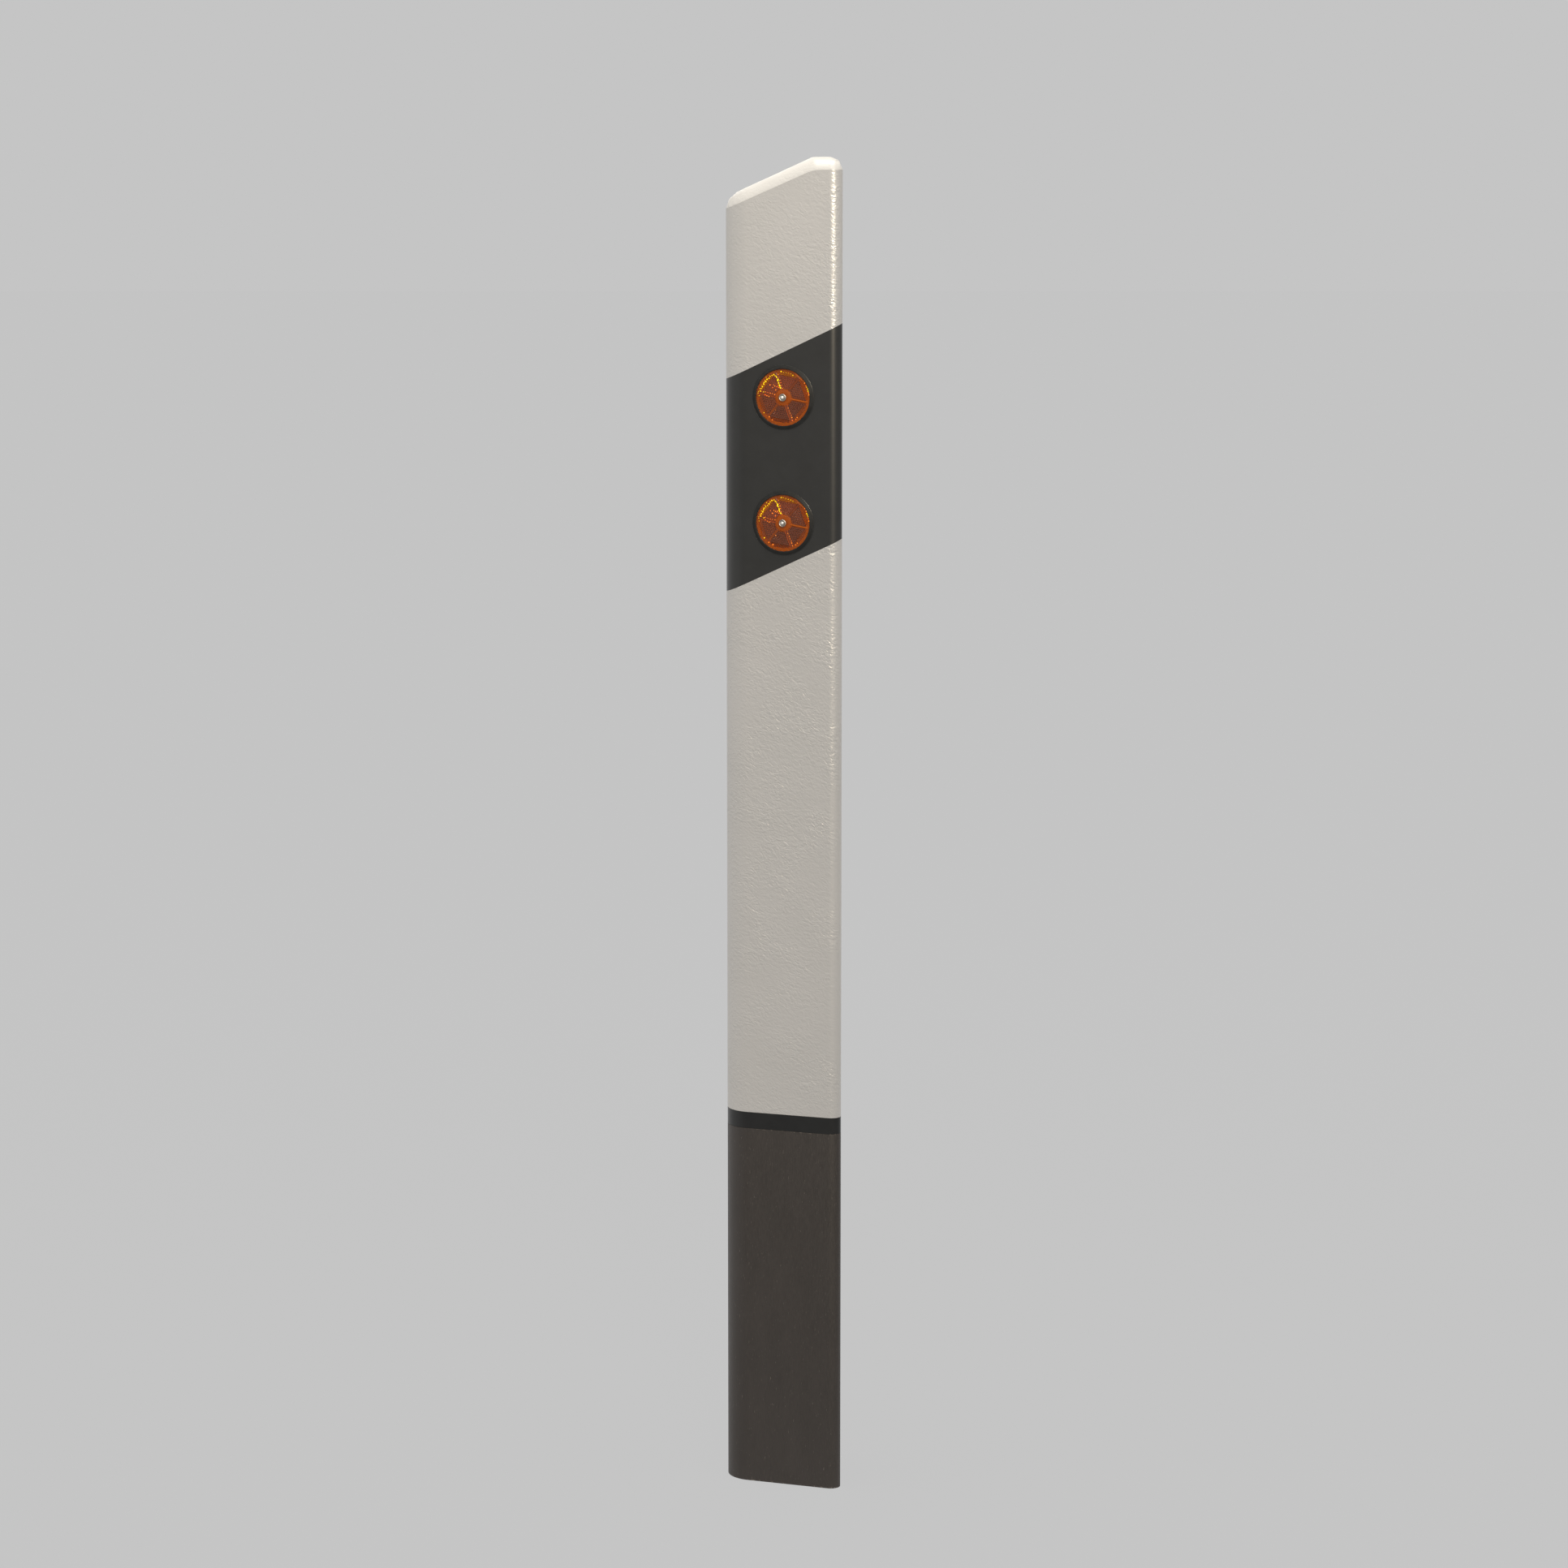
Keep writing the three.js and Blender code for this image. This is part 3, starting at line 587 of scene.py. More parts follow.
def section(inset):
    """The section at an inset, anticlockwise from the base wall's +Y half."""
    radius = max(CORNER_RADIUS - inset, SMALLEST_CORNER)
    shift = inset + radius - CORNER_RADIUS
    slant = (1 + math.sin(FACE_ANGLE)) / math.cos(FACE_ANGLE)
    corner = (CORNER_X - shift, CORNER_Y - shift * slant)
    tangent = math.pi / 2 + FACE_ANGLE
    half = arc(corner, radius, 0, tangent, CORNER_STEPS)
    nose = arc((NOSE_X, 0), NOSE_RADIUS - inset, tangent, math.pi, NOSE_STEPS // 2)
    half += [(x, face_y(x, inset)) for x in flat_places(half[-1][0], nose[0][0])]
    half += nose
    wall_x = half[0][0]
    edge_y = half[0][1] - FLAT_MARGIN
    half = [(wall_x, edge_y / 3), (wall_x, edge_y), *half]
    return half + [(x, -y) for x, y in reversed(half[:-1])]


def ring(inset, height):
    """The section at an inset, lifted to a height that is a number or a function of x."""
    level = height if callable(height) else lambda x: height
    return [Vector((x, y, level(x))) for x, y in section(inset)]


def roof(x, bend):
    """Height of the roof from its crest downwards, with a bend between its two planes."""
    angle = math.atan(ROOF_SLOPE)
    reach = bend * math.tan(angle / 2)
    if x >= CREST_X + reach:
        return 0
    if x <= CREST_X - reach * math.cos(angle):
        return ROOF_SLOPE * (x - CREST_X)
    return math.sqrt(bend**2 - (x - CREST_X - reach) ** 2) - bend


def crease(x, lift=0.0):
    return TOP - SHOULDER + roof(x, CREASE_BEND) + lift


def band_low(x, lift=0.0):
    return BAND_LOW + BAND_SLOPE * x + lift


def band_high(x, lift=0.0):
    return BAND_HIGH + BAND_SLOPE * x + lift


def raised(height, lift):
    return lambda x: height(x, lift)


def loft(name, rings, material, is_tube=False, sharp=SHARP):
    """Joins rings into a closed skin; unless it is a tube, strips close both ends."""
    count = len(rings[0])
    faces = []
    for r in range(len(rings) if is_tube else len(rings) - 1):
        low = r * count
        high = (r + 1) % len(rings) * count
        for i in range(count):
            j = (i + 1) % count
            faces.append((low + i, low + j, high + j, high + i))
    if not is_tube:
        faces += [face[::-1] for face in end_strip(count, 0)]
        faces += end_strip(count, (len(rings) - 1) * count)
    points = [p for one in rings for p in one]
    return make_object(name, points, faces, material, sharp=sharp)


def end_strip(count, first):
    """Faces between the mirrored points of a ring."""
    faces = []
    i = 0
    while count - 2 - i > i:
        far = count - 1 - i
        corners = dict.fromkeys((i, i + 1, far - 1, far))
        faces.append(tuple(first + c for c in corners))
        i += 1
    return faces


def turned(name, profile, material, steps=ROUND_STEPS, sharp=SHARP):
    """A body of revolution about Z from (radius, z) pairs, anticlockwise in that plane."""
    points, faces, rings = [], [], []
    for radius, z in profile:
        first = len(points)
        if radius == 0:
            points.append((0, 0, z))
            rings.append([first] * steps)
            continue
        points += [(x, y, z) for x, y in arc((0, 0), radius, 0, 2 * math.pi, steps)[:-1]]
        rings.append(list(range(first, first + steps)))
    closing = [] if profile[0][0] == 0 else [(rings[-1], rings[0])]
    for low, high in list(zip(rings, rings[1:])) + closing:
        for i in range(steps):
            j = (i + 1) % steps
            corners = tuple(dict.fromkeys((low[i], low[j], high[j], high[i])))
            if len(corners) > 2:
                faces.append(corners)
    return make_object(name, points, faces, material, sharp=sharp)


def rounded_corner(before, corner, after, radius, steps=4):
    """A small curve in place of a corner."""
    here = Vector(corner)
    back = Vector(before) - here
    ahead = Vector(after) - here
    reach = min(radius, back.length * 0.4, ahead.length * 0.4)
    start = here + back.normalized() * reach
    end = here + ahead.normalized() * reach
    shares = [k / steps for k in range(steps + 1)]
    return [tuple(start * (1 - t) ** 2 + here * 2 * t * (1 - t) + end * t**2) for t in shares]


def rounded_profile(profile, radius):
    """The same closed profile with each corner turned into a small curve."""
    ahead = profile[1:] + profile[:1]
    corners = zip([profile[-1], *profile], profile, ahead)
    return [point for three in corners for point in rounded_corner(*three, radius)]


def rounded_rectangle(width, height, radius, steps=8):
    quarter = math.pi / 2
    half = []
    for side, start in ((-1, -quarter), (1, 0)):
        centre = (width / 2 - radius, side * (height / 2 - radius))
        half += arc(centre, radius, start, start + quarter, steps)
    return half + [(-x, y) for x, y in reversed(half)]


def put(made, matrix):
    """Moves a new mesh to its place; its object stays at the origin."""
    made.data.transform(matrix)
    return made


def settle(made, body, slot, *nodes):
    """Says which body a new piece rides on and the nodes it stands for, which it hides; the slot is
    not used.
    """
    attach(made, body)
    if nodes:
        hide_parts(*nodes)


def cut(made, *tools, operation="DIFFERENCE"):
    """Cuts the tools out of a mesh, or joins them to it, and removes them."""
    for tool in tools:
        modifier = made.modifiers.new("boolean", "BOOLEAN")
        modifier.operation = operation
        modifier.solver = "EXACT"
        modifier.object = tool
    graph = bpy.context.evaluated_depsgraph_get()
    mesh = bpy.data.meshes.new_from_object(made.evaluated_get(graph))
    made.modifiers.clear()
    made.data = mesh
    mesh.set_sharp_from_angle(angle=SHARP)
    for tool in tools:
        bpy.data.objects.remove(tool)


def profile_at(level, profile):
    """A profile in millimetres above a level, turned into metres."""
    return [(radius * MM, level + z * MM) for radius, z in profile]


def rod(radius, low, high, matrix, steps=ROUND_STEPS):
    profile = [(0, low), (radius, low), (radius, high), (0, high)]
    return put(turned("rod", profile, "housing", steps), matrix)


# ---- Places of the reflectors and rivets: local z points out of the face, local y points up


def face_frame(turn, where):
    return (
        Matrix.Translation(where)
        @ Matrix.Rotation(turn, 4, "Z")
        @ Matrix.Rotation(math.pi / 2, 4, "X")
    )


def front_frame(node):
    height = sum(p.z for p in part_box(node)) / 2
    return face_frame(-FACE_ANGLE, (REFLECTOR_X, -face_y(REFLECTOR_X), height))


def rear_frame(offset=0.0):
    where = (REFLECTOR_X, face_y(REFLECTOR_X), LONG_CENTRE + offset)
    return face_frame(math.pi + FACE_ANGLE, where)


def foot_rivet_frame(node):
    low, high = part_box(node)
    where = (WIDTH / 2, (low.y + high.y) / 2, (low.z + high.z) / 2)
    return face_frame(math.pi / 2, where)


FRONT_FRAMES = {
    label: front_frame(label + "_reflector_lens") for label in ("upper", "lower")
}


def long_ring(grow, z):
    width, height = LONG_LENS
    outline = rounded_rectangle(width + grow, height + grow, LONG_CORNER + grow / 2)
    return [Vector((x, y, z)) for x, y in outline]


def long_block(grow, low, high):
    made = loft("block", [long_ring(grow, low), long_ring(grow, high)], "housing")
    return put(made, rear_frame())


# ---- Foot and coupling


def foot_rivet_tools():
    """Countersunk holes through the foot's base wall and the spigot behind it."""
    profile = [
        (0, -FOOT_DRILLING), (RIVET_HOLE, -FOOT_DRILLING), (RIVET_HOLE, -COUNTERSINK_DEPTH),
        (COUNTERSINK_RADIUS, OVERSHOOT), (0, OVERSHOOT),
    ]
    tools = []
    for side in ("left", "right"):
        tool = turned("tool", profile, "foot", RIVET_STEPS)
        tools.append(put(tool, foot_rivet_frame("foot_rivet_" + side)))
    return tools


def foot_shell():
    turn = [math.pi / 2 * i / FOOT_EDGE_STEPS for i in range(FOOT_EDGE_STEPS + 1)]
    edge = [
        ring(FOOT_EDGE * (1 - math.sin(a)), FOOT_EDGE * (1 - math.cos(a))) for a in turn
    ]
    made = loft("foot", [
        *edge,
        ring(0, FOOT_TOP - EDGE),
        ring(EDGE, FOOT_TOP),
        ring(FOOT_WALL, FOOT_TOP),
        ring(FOOT_WALL, FOOT_FLOOR),
    ], "foot")
    drain = rod(DRAIN_RADIUS, -MM, FOOT_FLOOR + MM, Matrix.Translation((DRAIN_X, 0, 0)))
    cut(made, drain, *foot_rivet_tools())
    settle(made, "foot", "foot_plastic", "foot_shell")


def coupling():
    lower = FOOT_WALL + GAP
    upper = POST_WALL + SPIGOT_PLAY
    bore = max(lower, upper) + SPIGOT_WALL
    made = loft("coupling_body", [
        ring(lower, SPIGOT_LOW),
        ring(lower, FOOT_TOP + SEAM),
        ring(EDGE, FOOT_TOP + SEAM),
        ring(0, FOOT_TOP + SEAM + EDGE),
        ring(0, COLLAR_TOP - SEAM - EDGE),
        ring(EDGE, COLLAR_TOP - SEAM),
        ring(upper, COLLAR_TOP - SEAM),
        ring(upper, SPIGOT_TOP - SPIGOT_TAPER),
        ring(upper + SPIGOT_LEAD, SPIGOT_TOP - EDGE),
        ring(upper + SPIGOT_LEAD + EDGE, SPIGOT_TOP),
        ring(bore, SPIGOT_TOP),
        ring(bore, SPIGOT_LOW),
    ], "collar", is_tube=True)
    cut(made, *foot_rivet_tools())
    settle(made, "foot", "collar_plastic", "coupling")


def foot_rivets():
    """Set countersunk blind rivets that hold the coupling in the foot."""
    tail = -(FOOT_WALL + SPIGOT_WALL + 2 * GAP)
    body = [*profile_at(tail, FOOT_RIVET_TAIL), *profile_at(0, FOOT_RIVET_HEAD)]
    body = rounded_profile(body, FOOT_RIVET_ROUNDING)
    pin = [*profile_at(tail, FOOT_MANDREL_TAIL), *profile_at(0, FOOT_MANDREL_TIP)]
    for side in ("left", "right"):
        where = foot_rivet_frame("foot_rivet_" + side)
        made = turned(f"foot_rivet_body_{side}", body, "aluminium", RIVET_STEPS)
        settle(put(made, where), "foot", "rivet_aluminium", "foot_rivet_" + side)
        made = turned(f"foot_rivet_pin_{side}", pin, "steel", RIVET_STEPS)
        settle(put(made, where), "foot", "mandrel_steel", "foot_rivet_mandrel_" + side)


# ---- Post


def pocket_tools(low, high):
    grow = 2 * (POCKET_RADIUS - LENS_RADIUS)
    tools = [rod(POCKET_RADIUS, low, high, where) for where in FRONT_FRAMES.values()]
    return [*tools, long_block(grow, low, high)]


def rivet_tools():
    places = [*FRONT_FRAMES.values(), rear_frame(-LONG_RIVET_OFFSET), rear_frame(LONG_RIVET_OFFSET)]
    return [rod(RIVET_HOLE, POCKET_BACK - MM, LENS_FRONT, where, RIVET_STEPS) for where in places]


def pocket_cups():
    """The moulded pockets behind the wall, each a cup with a floor."""
    top = -(SLEEVE_WALL + GAP + CUP_SINK)
    radius = POCKET_RADIUS + POCKET_WALL
    cups = [rod(radius, POCKET_BACK, top, where) for where in FRONT_FRAMES.values()]
    grow = 2 * (POCKET_RADIUS - LENS_RADIUS + POCKET_WALL)
    return [*cups, long_block(grow, POCKET_BACK, top)]


def post_shell():
    recess = SLEEVE_WALL + SEAM
    made = loft("white_shell", [
        ring(EDGE, COLLAR_TOP),
        ring(0, COLLAR_TOP + EDGE),
        ring(0, band_low),
        ring(recess, band_low),
        ring(recess, band_high),
        ring(0, band_high),
        ring(0, raised(crease, -SEAM)),
        ring(POST_WALL, raised(crease, -SEAM)),
        ring(POST_WALL, COLLAR_TOP),
    ], "white", is_tube=True)
    cut(made, *pocket_cups(), operation="UNION")
    cut(made, *pocket_tools(POCKET_FLOOR, MM), *rivet_tools())
    settle(made, "post", "post_plastic", "post_shell")


def band_sleeve():
    made = loft("black_band", [
        ring(0, raised(band_low, SEAM)),
        ring(0, raised(band_high, -SEAM)),
        ring(SLEEVE_WALL, raised(band_high, -SEAM)),
        ring(SLEEVE_WALL, raised(band_low, SEAM)),
    ], "band", is_tube=True)
    cut(made, *pocket_tools(POCKET_FLOOR, MM))
    settle(made, "post", "band_plastic", "band_sleeve")


def shoulder_rings():
    """A quarter round in two wide chords, from the crease to the roof, shaded as one curve."""
    slant = math.sqrt(0.5) * SHOULDER
    path = [(0, 0), (SHOULDER - slant, slant), (SHOULDER, SHOULDER), (1.2 * SHOULDER, SHOULDER)]
    rings = []
    for inset, rise in path:
        bend = CREASE_BEND + (CREST_BEND - CREASE_BEND) * rise / SHOULDER
        rings.append(ring(inset, lambda x, r=rise, b=bend: TOP - SHOULDER + r + roof(x, b)))
    return rings


def top_cap():
    skirt = POST_WALL + GAP
    inner = skirt + SKIRT_WALL
    ceiling = max(SHOULDER - CAP_WALL, inner)
    made = loft("roof_cap", [
        ring(ceiling, lambda x: TOP - CAP_WALL + roof(x, CREST_BEND)),
        ring(inner, crease),
        ring(inner, raised(crease, -SKIRT_HEIGHT)),
        ring(skirt, raised(crease, -SKIRT_HEIGHT)),
        ring(skirt, crease),
        *shoulder_rings(),
    ], "white", sharp=CAP_SHARP)
    settle(made, "post", "post_plastic", "top_cap")


# ---- Reflectors


def round_housing(label, where):
    wall = POCKET_RADIUS - GAP
    profile = [
        (RIVET_HOLE, HOUSING_BACK), (wall, HOUSING_BACK), (wall, SEAM), (BEZEL_RADIUS, SEAM),
        (BEZEL_RADIUS, BEZEL_EDGE), (LENS_RADIUS + BEZEL_LIP, BEZEL_FRONT),
        (LENS_RADIUS + LENS_PLAY, BEZEL_FRONT), (LENS_RADIUS + LENS_PLAY, HOUSING_FLOOR),
        (RIVET_HOLE, HOUSING_FLOOR),
    ]
    made = turned(label + "_bezel", rounded_profile(profile, HOUSING_ROUNDING), "housing")
    settle(put(made, where), "post", "housing_plastic", label + "_reflector_housing")
    centre = (BEZEL_RADIUS - EDGE_BEAD, EDGE_BEAD_HEIGHT)
    bead = arc(centre, EDGE_BEAD, math.pi / 4, 3 * math.pi / 4, 8)
    made = turned(label + "_bezel_bead", bead, "band", sharp=math.pi)
    settle(put(made, where), "post", "housing_plastic")


def prism_sector(index):
    """A moulded field of cube corners that fills one sixth of the hexagon.

    The sector is an equilateral triangle with its tip at the hub, so a triangular lattice
    fills it exactly; each small triangle becomes a three-sided pit.
    """
    tip = 2 * RIB_HALF
    row = (SECTOR_APOTHEM - tip) / PRISM_ROWS
    step = row * 2 / math.sqrt(3)
    turn = SECTOR_TURN + (2 * index + 1) * math.pi / SECTORS
    spin = Matrix.Rotation(turn, 4, "Z")

    def corner(i, j, z):
        return spin @ Vector((tip + i * row, (j - i / 2) * step, z))

    cells = []
    for i in range(PRISM_ROWS):
        cells += [((i, j), (i + 1, j), (i + 1, j + 1)) for j in range(i + 1)]
        cells += [((i, j), (i + 1, j + 1), (i, j + 1)) for j in range(i)]
    start = PRISM_START * HUB_RADIUS
    kept = [c for c in cells if min(corner(i, j, 0).length for i, j in c) > start]
    return pitted_field(kept, corner, row * PRISM_STEEPNESS)


def pitted_field(cells, corner, depth):
    """Points and faces of a slab whose top is pitted and whose bottom is flat."""
    keys = sorted({key for cell in cells for key in cell})
    number = {key: n for n, key in enumerate(keys)}
    points = [corner(*key, PRISM_TOP) for key in keys]
    points += [corner(*key, PRISM_BASE) for key in keys]
    faces, edges = [], {}
    for cell in cells:
        around = [number[key] for key in cell]
        middle = sum((points[n] for n in around), Vector()) / len(around)
        middle.z = PRISM_TOP - depth
        points.append(middle)
        for a, b in zip(around, around[1:] + around[:1]):
            faces.append((a, b, len(points) - 1))
            edges[(a, b)] = True
        faces.append(tuple(n + len(keys) for n in reversed(around)))
    for a, b in edges:
        if (b, a) not in edges:
            faces.append((b, a, a + len(keys), b + len(keys)))
    return points, faces


def facet_material(points, face, facets, shade):
    """The facets beside the level ridges take the darker amber, as painted shade."""
    corners = [points[i] for i in face]
    normal = (corners[1] - corners[0]).cross(corners[2] - corners[0])
    return shade if abs(normal.y) > 2 * abs(normal.x) else facets


def bar(angle, sideways, half, top):
    """A roof-shaped bar along a ray from the hub to the rim."""
    spin = Matrix.Rotation(angle, 4, "Z")
    points = []
    for x in (HUB_RADIUS * RIB_OVERLAP, LENS_RADIUS - RIM_WIDTH * RIB_OVERLAP):
        for y, z in ((-1, 0), (1, 0), (0.6, 0.6), (0, 1), (-0.6, 0.6)):
            height = PRISM_BASE + (top - PRISM_BASE) * z
            points.append(spin @ Vector((x, sideways + half * y, height)))
    sides = [((i + 1) % 5, (i + 1) % 5 + 5, i + 5, i) for i in range(5)]
    return points, [(4, 3, 2, 1, 0), (5, 6, 7, 8, 9), *sides]


def rib(index):
    """A low strip between two prism fields with lines along its edges and its middle."""
    angle = SECTOR_TURN + 2 * index * math.pi / SECTORS
    strip, *lines = RIBS[index]
    parts = [(*bar(angle, 0, RIB_HALF, PRISM_TOP - RIB_DROP), strip)]
    for material, sideways in zip(lines, (-RIB_HALF, 0, RIB_HALF)):
        if material:
            half = RIB_LINE if sideways else RIB_MIDDLE
            parts.append((*bar(angle, sideways, half, PRISM_TOP + LINE_RISE), material))
    return parts


def beads(index, dice):
    """Rows of small four-sided beads between a prism field and the rim."""
    points, faces = [], []
    middle = SECTOR_TURN + (2 * index + 1) * math.pi / SECTORS
    spin = Matrix.Rotation(middle, 4, "Z")
    reach = LENS_RADIUS - RIM_WIDTH
    rows = int((reach - SECTOR_APOTHEM) / BEAD_PITCH)
    for row in range(rows):
        x = SECTOR_APOTHEM + (row + BEAD_START) * BEAD_PITCH
        half = math.sqrt(reach**2 - (x + BEAD_PITCH / 2) ** 2)
        half = min(half, x * math.tan(math.pi / SECTORS) - RIB_HALF * BEAD_MARGIN)
        count = int(2 * half / BEAD_PITCH)
        for k in range(count):
            y = (k - (count - 1) / 2) * BEAD_PITCH
            add_bead(points, faces, spin, x, y, dice)
    return points, faces


def add_bead(points, faces, spin, x, y, dice):
    half = BEAD_PITCH * BEAD_SIZE
    first = len(points)
    for dx, dy in ((-half, -half), (half, -half), (half, half), (-half, half)):
        points.append(spin @ Vector((x + dx, y + dy, PRISM_BASE)))
    lean = [dice.uniform(-BEAD_LEAN, BEAD_LEAN) * half for _ in range(2)]
    points.append(spin @ Vector((x + lean[0], y + lean[1], PRISM_TOP)))
    faces.append(tuple(first + i for i in (3, 2, 1, 0)))
    faces += [(first + i, first + (i + 1) % 4, first + 4) for i in range(4)]


def polar(radius, degrees):
    angle = math.radians(degrees)
    return Vector((radius * MM * math.cos(angle), radius * MM * math.sin(angle), 0))


def glint_row(size, start, end, count, dice):
    """Bright six-sided corners, evenly spaced between two places with a little scatter; they glow
    as painted glints.
    """
    points, faces = [], []
    for k in range(count):
        share = k / max(count - 1, 1)
        scatter = [dice.uniform(-GLINT_SHIFT, GLINT_SHIFT) for _ in range(2)]
        centre = polar(*start).lerp(polar(*end), share) + Vector((*scatter, 0))
        radius = size * MM * dice.uniform(GLINT_SMALLEST, 1.0)
        first = len(points)
        points += [
            centre + Vector((x, y, PRISM_TOP + HAIR))
            for x, y in arc((0, 0), radius, 0, 2 * math.pi, 6)[:-1]
        ]
        points.append(centre + Vector((0, 0, PRISM_TOP + GLINT_RISE)))
        faces.append(tuple(range(first + 5, first - 1, -1)))
        faces += [(first + i, first + (i + 1) % 6, first + 6) for i in range(6)]
    return points, faces


def gathered(parts):
    """One list of points, faces, materials and slots from (points, faces, material) parts.

    A part's material is one name, or a list with a name for each face.
    """
    points, faces, named = [], [], []
    for more, sides, material in parts:
        faces += [tuple(i + len(points) for i in side) for side in sides]
        named += [material] * len(sides) if isinstance(material, str) else material
        points += more
    names = list(dict.fromkeys(named))
    return points, faces, names, [names.index(name) for name in named]


def amber_base():
    """The plain amber body behind the prisms: rim, floor and hub in one turned profile."""
    rim = LENS_RADIUS - RIM_WIDTH
    seat = LENS_RADIUS - SEAT_WIDTH
    back = PRISM_BASE - BACKING
    floor = PRISM_BASE - HAIR
    edge = PRISM_TOP - RIM_DEPTH
    return [
        (RIVET_HOLE, LENS_BACK), (HUB_RADIUS, LENS_BACK), (HUB_RADIUS, back), (seat, back),
        (seat, RIM_BACK), (LENS_RADIUS, RIM_BACK), (LENS_RADIUS, edge), (rim, edge),
        (rim - 0.3 * MM, floor), (HUB_RADIUS + HUB_FOOT, floor), (HUB_RADIUS, edge),
        (HUB_RADIUS - HUB_SLOPE, PRISM_TOP + HUB_RISE), (RIVET_HOLE, PRISM_TOP + HUB_RISE),
    ]


def round_lens(label, where, seed):
    dice = random.Random(seed)
    node = label + "_reflector_lens"
    front = [
        (RIVET_HOLE, PLATE_BACK), (LENS_RADIUS, PLATE_BACK),
        (LENS_RADIUS, LENS_FRONT - LENS_ROUNDING),
        (LENS_RADIUS - LENS_BEVEL, LENS_FRONT - LENS_BEVEL),
        (LENS_RADIUS - LENS_ROUNDING, LENS_FRONT), (RIVET_HOLE, LENS_FRONT),
    ]
    made = turned(label + "_lens_front", front, "clear")
    settle(put(made, where), "post", "amber_lens", node)
    base = turned(label + "_lens_base", amber_base(), "amber")
    settle(put(base, where), "post", "amber_lens", node)
    parts = []
    for index, (facets, shade, filling) in enumerate(FIELDS):
        points, faces = prism_sector(index)
        parts.append((points, faces, [facet_material(points, f, facets, shade) for f in faces]))
        parts.append((*beads(index, dice), filling))
        parts += rib(index)
    parts += [(*glint_row(*row, dice), kind) for kind, *row in GLINTS]
    points, faces, names, slots = gathered(parts)
    name = label + "_lens_prisms"
    made = make_object(name, points, faces, *names, slots=slots, sharp=FACET_SHARP)
    settle(put(made, where), "post", "amber_lens", node)


def round_seal(label, where):
    inner = LENS_RADIUS - SEAT_WIDTH
    profile = [
        (inner, LENS_BACK), (LENS_RADIUS, LENS_BACK),
        (LENS_RADIUS, SEAL_FRONT), (inner, SEAL_FRONT),
    ]
    made = turned(label + "_seal_ring", rounded_profile(profile, SEAL_ROUNDING), "rubber")
    settle(put(made, where), "post", "seal_rubber", label + "_reflector_seal")


def rivet_set(label, where):
    """A set blind rivet with its broken mandrel and its backing washer."""
    washer_top = POCKET_BACK - GAP
    washer_low = washer_top - WASHER_THICKNESS
    tail = washer_low - GAP
    body = [*profile_at(tail, RIVET_TAIL), *profile_at(LENS_FRONT, RIVET_HEAD)]
    pin = [*profile_at(tail, MANDREL_TAIL), *profile_at(LENS_FRONT, MANDREL_TIP)]
    washer = [
        (RIVET_HOLE, washer_low), (WASHER_RADIUS, washer_low),
        (WASHER_RADIUS, washer_top), (RIVET_HOLE, washer_top),
    ]
    made = turned(label + "_rivet_body", body, "aluminium", RIVET_STEPS, RIVET_SHARP)
    settle(put(made, where), "post", "rivet_aluminium", label + "_rivet")
    made = turned(label + "_rivet_pin", pin, "steel", RIVET_STEPS, RIVET_SHARP)
    settle(put(made, where), "post", "mandrel_steel", label + "_rivet_mandrel")
    washer = rounded_profile(washer, WASHER_ROUNDING)
    made = turned(label + "_washer", washer, "aluminium", RIVET_STEPS)
    settle(put(made, where), "post", "rivet_aluminium", label + "_backing_washer")


def long_holes():
    places = [rear_frame(-LONG_RIVET_OFFSET), rear_frame(LONG_RIVET_OFFSET)]
    return [rod(RIVET_HOLE, POCKET_FLOOR, LENS_FRONT + MM, where, RIVET_STEPS) for where in places]


def long_housing():
    outer = 2 * (POCKET_RADIUS - GAP - LENS_RADIUS)
    bezel = 2 * (BEZEL_RADIUS - LENS_RADIUS)
    made = loft("rear_bezel", [
        long_ring(outer, HOUSING_BACK), long_ring(outer, SEAM), long_ring(bezel, SEAM),
        long_ring(bezel, BEZEL_EDGE), long_ring(bezel - 0.4 * MM, BEZEL_EDGE + 0.25 * MM),
        long_ring(2.2 * MM, BEZEL_FRONT - 0.15 * MM), long_ring(1.6 * MM, BEZEL_FRONT),
        long_ring(0.3 * MM, BEZEL_FRONT), long_ring(2 * LENS_PLAY, BEZEL_FRONT - 0.1 * MM),
        long_ring(2 * LENS_PLAY, HOUSING_FLOOR),
    ], "housing")
    cut(put(made, rear_frame()), *long_holes())
    settle(made, "post", "housing_plastic", "rear_reflector_housing")


def long_prisms():
    """A triangular lattice of cube corners between the two rivets."""
    width, height = LONG_FIELD
    row = LONG_PITCH
    step = row * 2 / math.sqrt(3)
    columns = int(width / step) - 1
    rows = int(height / row)

    def corner(i, j, z):
        return Vector(((j - i % 2 / 2 - columns / 2 + 0.25) * step, (i - rows / 2) * row, z))

    cells = []
    for i in range(rows):
        shift = i % 2
        for j in range(1, columns):
            cells.append(((i, j), (i, j + 1), (i + 1, j + 1 - shift)))
            cells.append(((i, j), (i + 1, j + 1 - shift), (i + 1, j - shift)))
    return pitted_field(cells, corner, row * LONG_STEEPNESS)


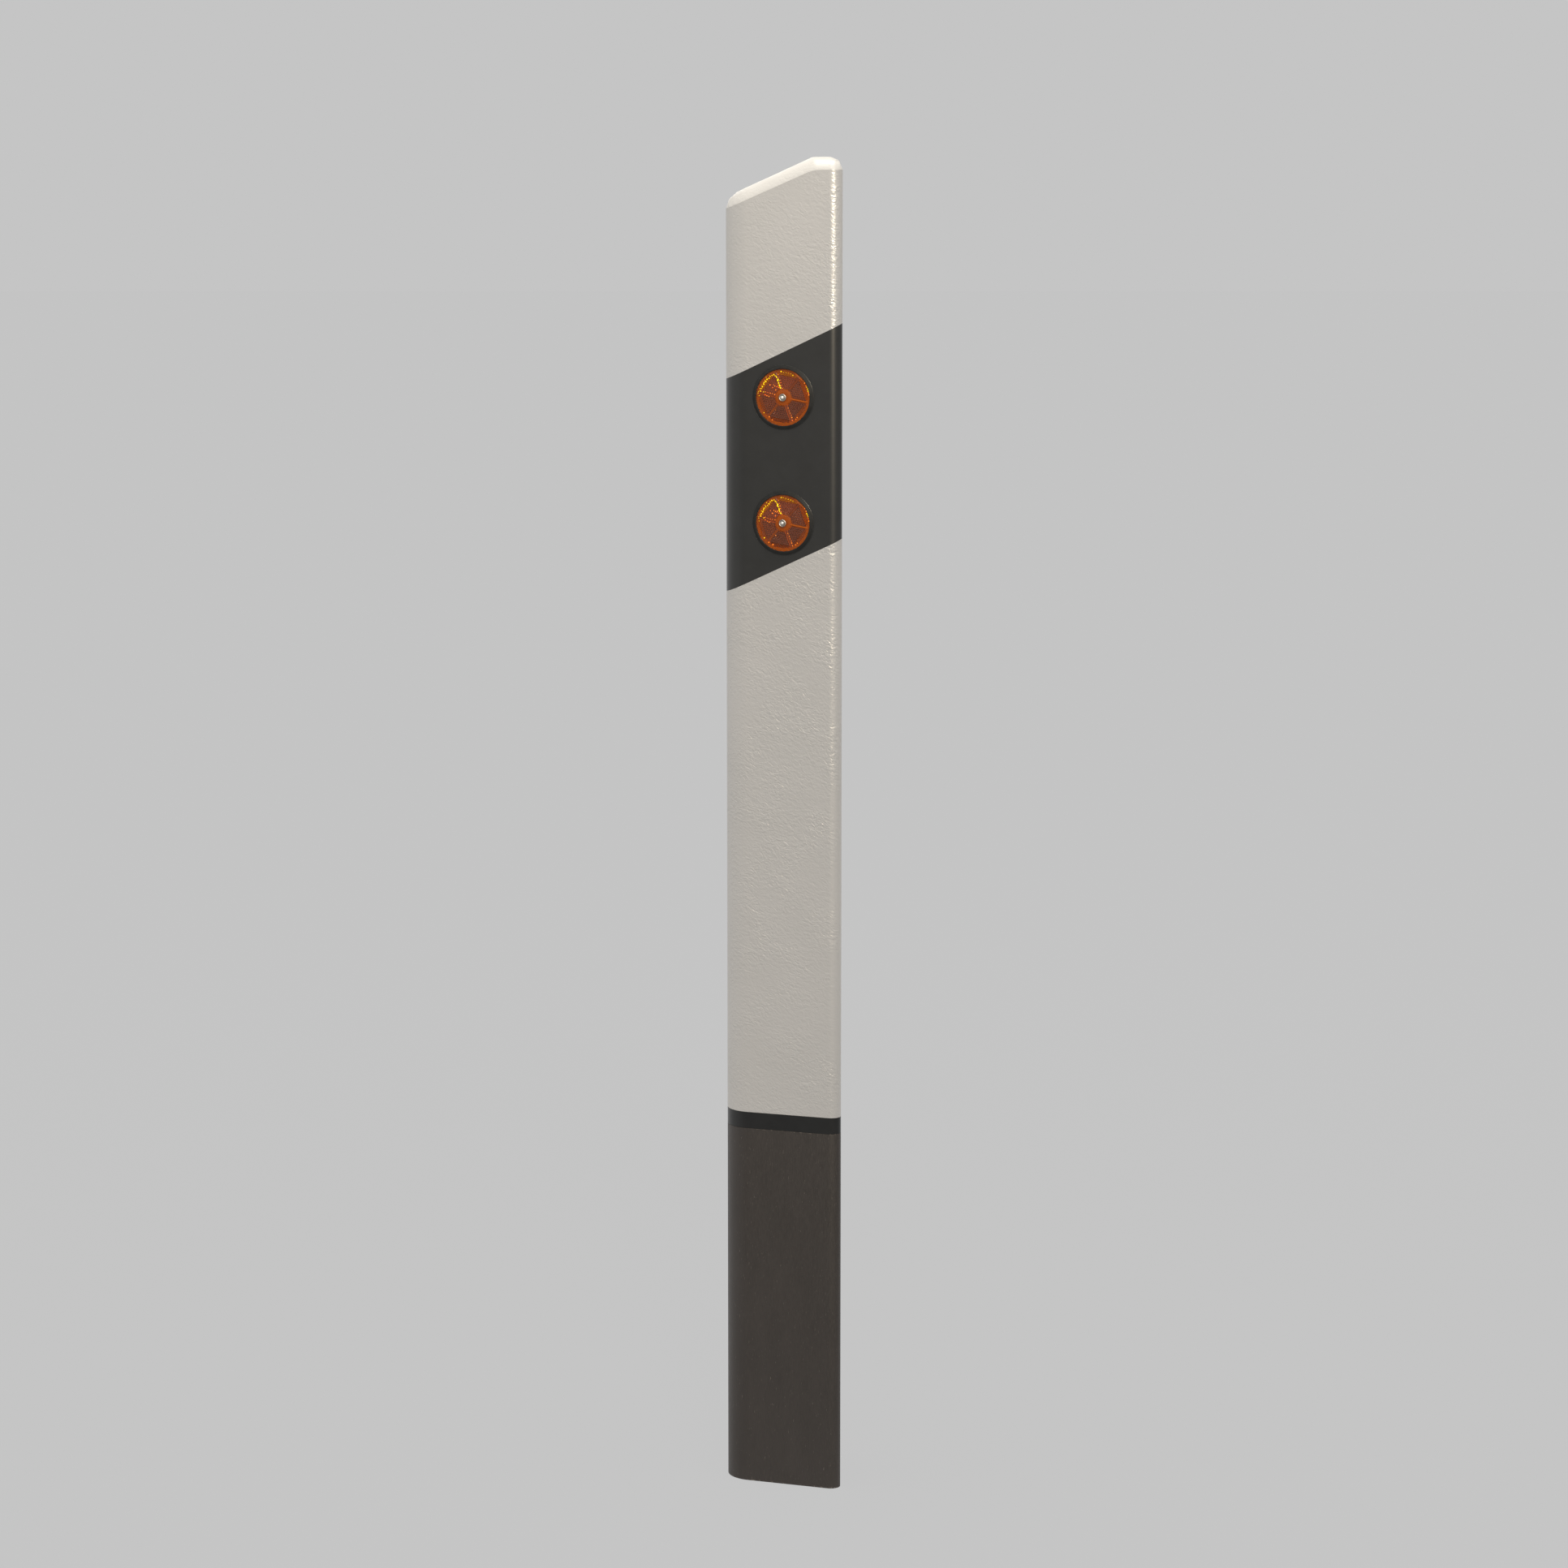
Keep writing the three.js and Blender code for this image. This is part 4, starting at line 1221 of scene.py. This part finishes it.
def long_lens():
    node = "rear_reflector_lens"
    front = loft("rear_lens_front", [
        long_ring(0, PLATE_BACK),
        long_ring(0, LENS_FRONT - LENS_ROUNDING),
        long_ring(-2 * LENS_BEVEL, LENS_FRONT - LENS_BEVEL),
        long_ring(-2 * LENS_ROUNDING, LENS_FRONT),
    ], "clear")
    cut(put(front, rear_frame()), *long_holes())
    settle(front, "post", "amber_lens", node)
    low = PRISM_BASE - BACKING
    top = PLATE_BACK - 0.05 * MM
    base = loft("rear_lens_base", [
        long_ring(0, low),
        long_ring(0, top),
        long_ring(-LONG_RIM, top),
        long_ring(-LONG_RIM_FOOT, PRISM_BASE - HAIR),
    ], "amber")
    cut(put(base, rear_frame()), *long_holes())
    settle(base, "post", "amber_lens", node)
    points, faces = long_prisms()
    made = make_object("rear_lens_prisms", points, faces, "prism", sharp=FACET_SHARP)
    settle(put(made, rear_frame()), "post", "amber_lens", node)


def long_seal():
    made = loft("rear_seal_ring", [
        long_ring(0, LENS_BACK),
        long_ring(0, LONG_SEAL_FRONT),
        long_ring(-LONG_SEAL_WIDTH, LONG_SEAL_FRONT),
        long_ring(-LONG_SEAL_WIDTH, LENS_BACK),
    ], "rubber", is_tube=True)
    settle(put(made, rear_frame()), "post", "seal_rubber", "rear_reflector_seal")


# ---- Camera, lights and floor


def add_camera():
    data = bpy.data.cameras.new("camera")
    data.lens = CAMERA_LENS
    data.sensor_width = CAMERA_SENSOR
    made = bpy.data.objects.new("camera", data)
    made.location = (0, -CAMERA_DISTANCE, CAMERA_HEIGHT)
    made.rotation_euler = (math.pi / 2 - CAMERA_PITCH, 0, 0)
    bpy.context.scene.collection.objects.link(made)
    bpy.context.scene.camera = made


def add_lamp(name, where, aim, size, watts, colour):
    """An area light that lights the object but isn't seen itself."""
    data = bpy.data.lights.new(name, "AREA")
    data.shape = "RECTANGLE"
    data.size = data.size_y = size
    data.energy = watts
    data.color = colour
    made = bpy.data.objects.new(name, data)
    made.location = where
    direction = Vector(aim) - Vector(where)
    made.rotation_euler = direction.to_track_quat("-Z", "Y").to_euler()
    made.visible_camera = False
    bpy.context.scene.collection.objects.link(made)
    return made


def add_studio():
    scene = bpy.context.scene
    scene.view_settings.view_transform = "Standard"
    world = bpy.data.worlds.new("studio")
    world.use_nodes = True
    world.node_tree.nodes["Background"].inputs["Color"].default_value = (*[STUDIO_GREY] * 3, 1)
    scene.world = world
    lamps = [add_lamp(*lamp) for lamp in LAMPS]
    lamps[-1].visible_diffuse = False  # the glint lamp only makes highlights


def add_floor():
    """A wide plain floor that looks as bright as the studio.

    What it throws back onto the object fades towards the front and the right.
    """
    half = FLOOR_SIZE / 2
    corners = [(-half, -half, 0), (half, -half, 0), (half, half, 0), (-half, half, 0)]
    material, tree, shader = new_material("floor_grey", Roughness=0.9)
    shader.inputs["Base Color"].default_value = (0.03, 0.03, 0.03, 1)
    shader.inputs["Specular IOR Level"].default_value = 0.0
    shader.inputs["Emission Color"].default_value = (1, 1, 1, 1)
    place = add_node(tree, "TexCoord").outputs["Object"]
    axes = add_node(tree, "SeparateXYZ", {"Vector": place}).outputs
    aside = maths(tree, "MULTIPLY", axes["X"], FLOOR_TURN)
    away = maths(tree, "ADD", axes["Y"], aside)
    bounce = ramp(tree, away, FLOOR_NEAR, FLOOR_FAR, FLOOR_BOUNCE, STUDIO_GREY)
    seen = add_node(tree, "LightPath").outputs["Is Camera Ray"]
    inputs = {"Value": seen, "To Min": bounce, "To Max": FLOOR_SEEN}
    strength = add_node(tree, "MapRange", inputs).outputs["Result"]
    tree.links.new(strength, shader.inputs["Emission Strength"])
    material.cycles.emission_sampling = "NONE"
    MATERIALS["floor"] = material
    make_object("floor", corners, [(0, 1, 2, 3)], "floor")


add_camera()
add_studio()
add_floor()

foot_shell()
coupling()
foot_rivets()
post_shell()
band_sleeve()
top_cap()
for seed, (label, where) in enumerate(FRONT_FRAMES.items()):
    round_housing(label, where)
    round_lens(label, where, seed)
    round_seal(label, where)
    rivet_set(label + "_reflector", where)
long_housing()
long_lens()
long_seal()
for label, offset in (("lower", -LONG_RIVET_OFFSET), ("upper", LONG_RIVET_OFFSET)):
    rivet_set(f"rear_reflector_{label}", rear_frame(offset))
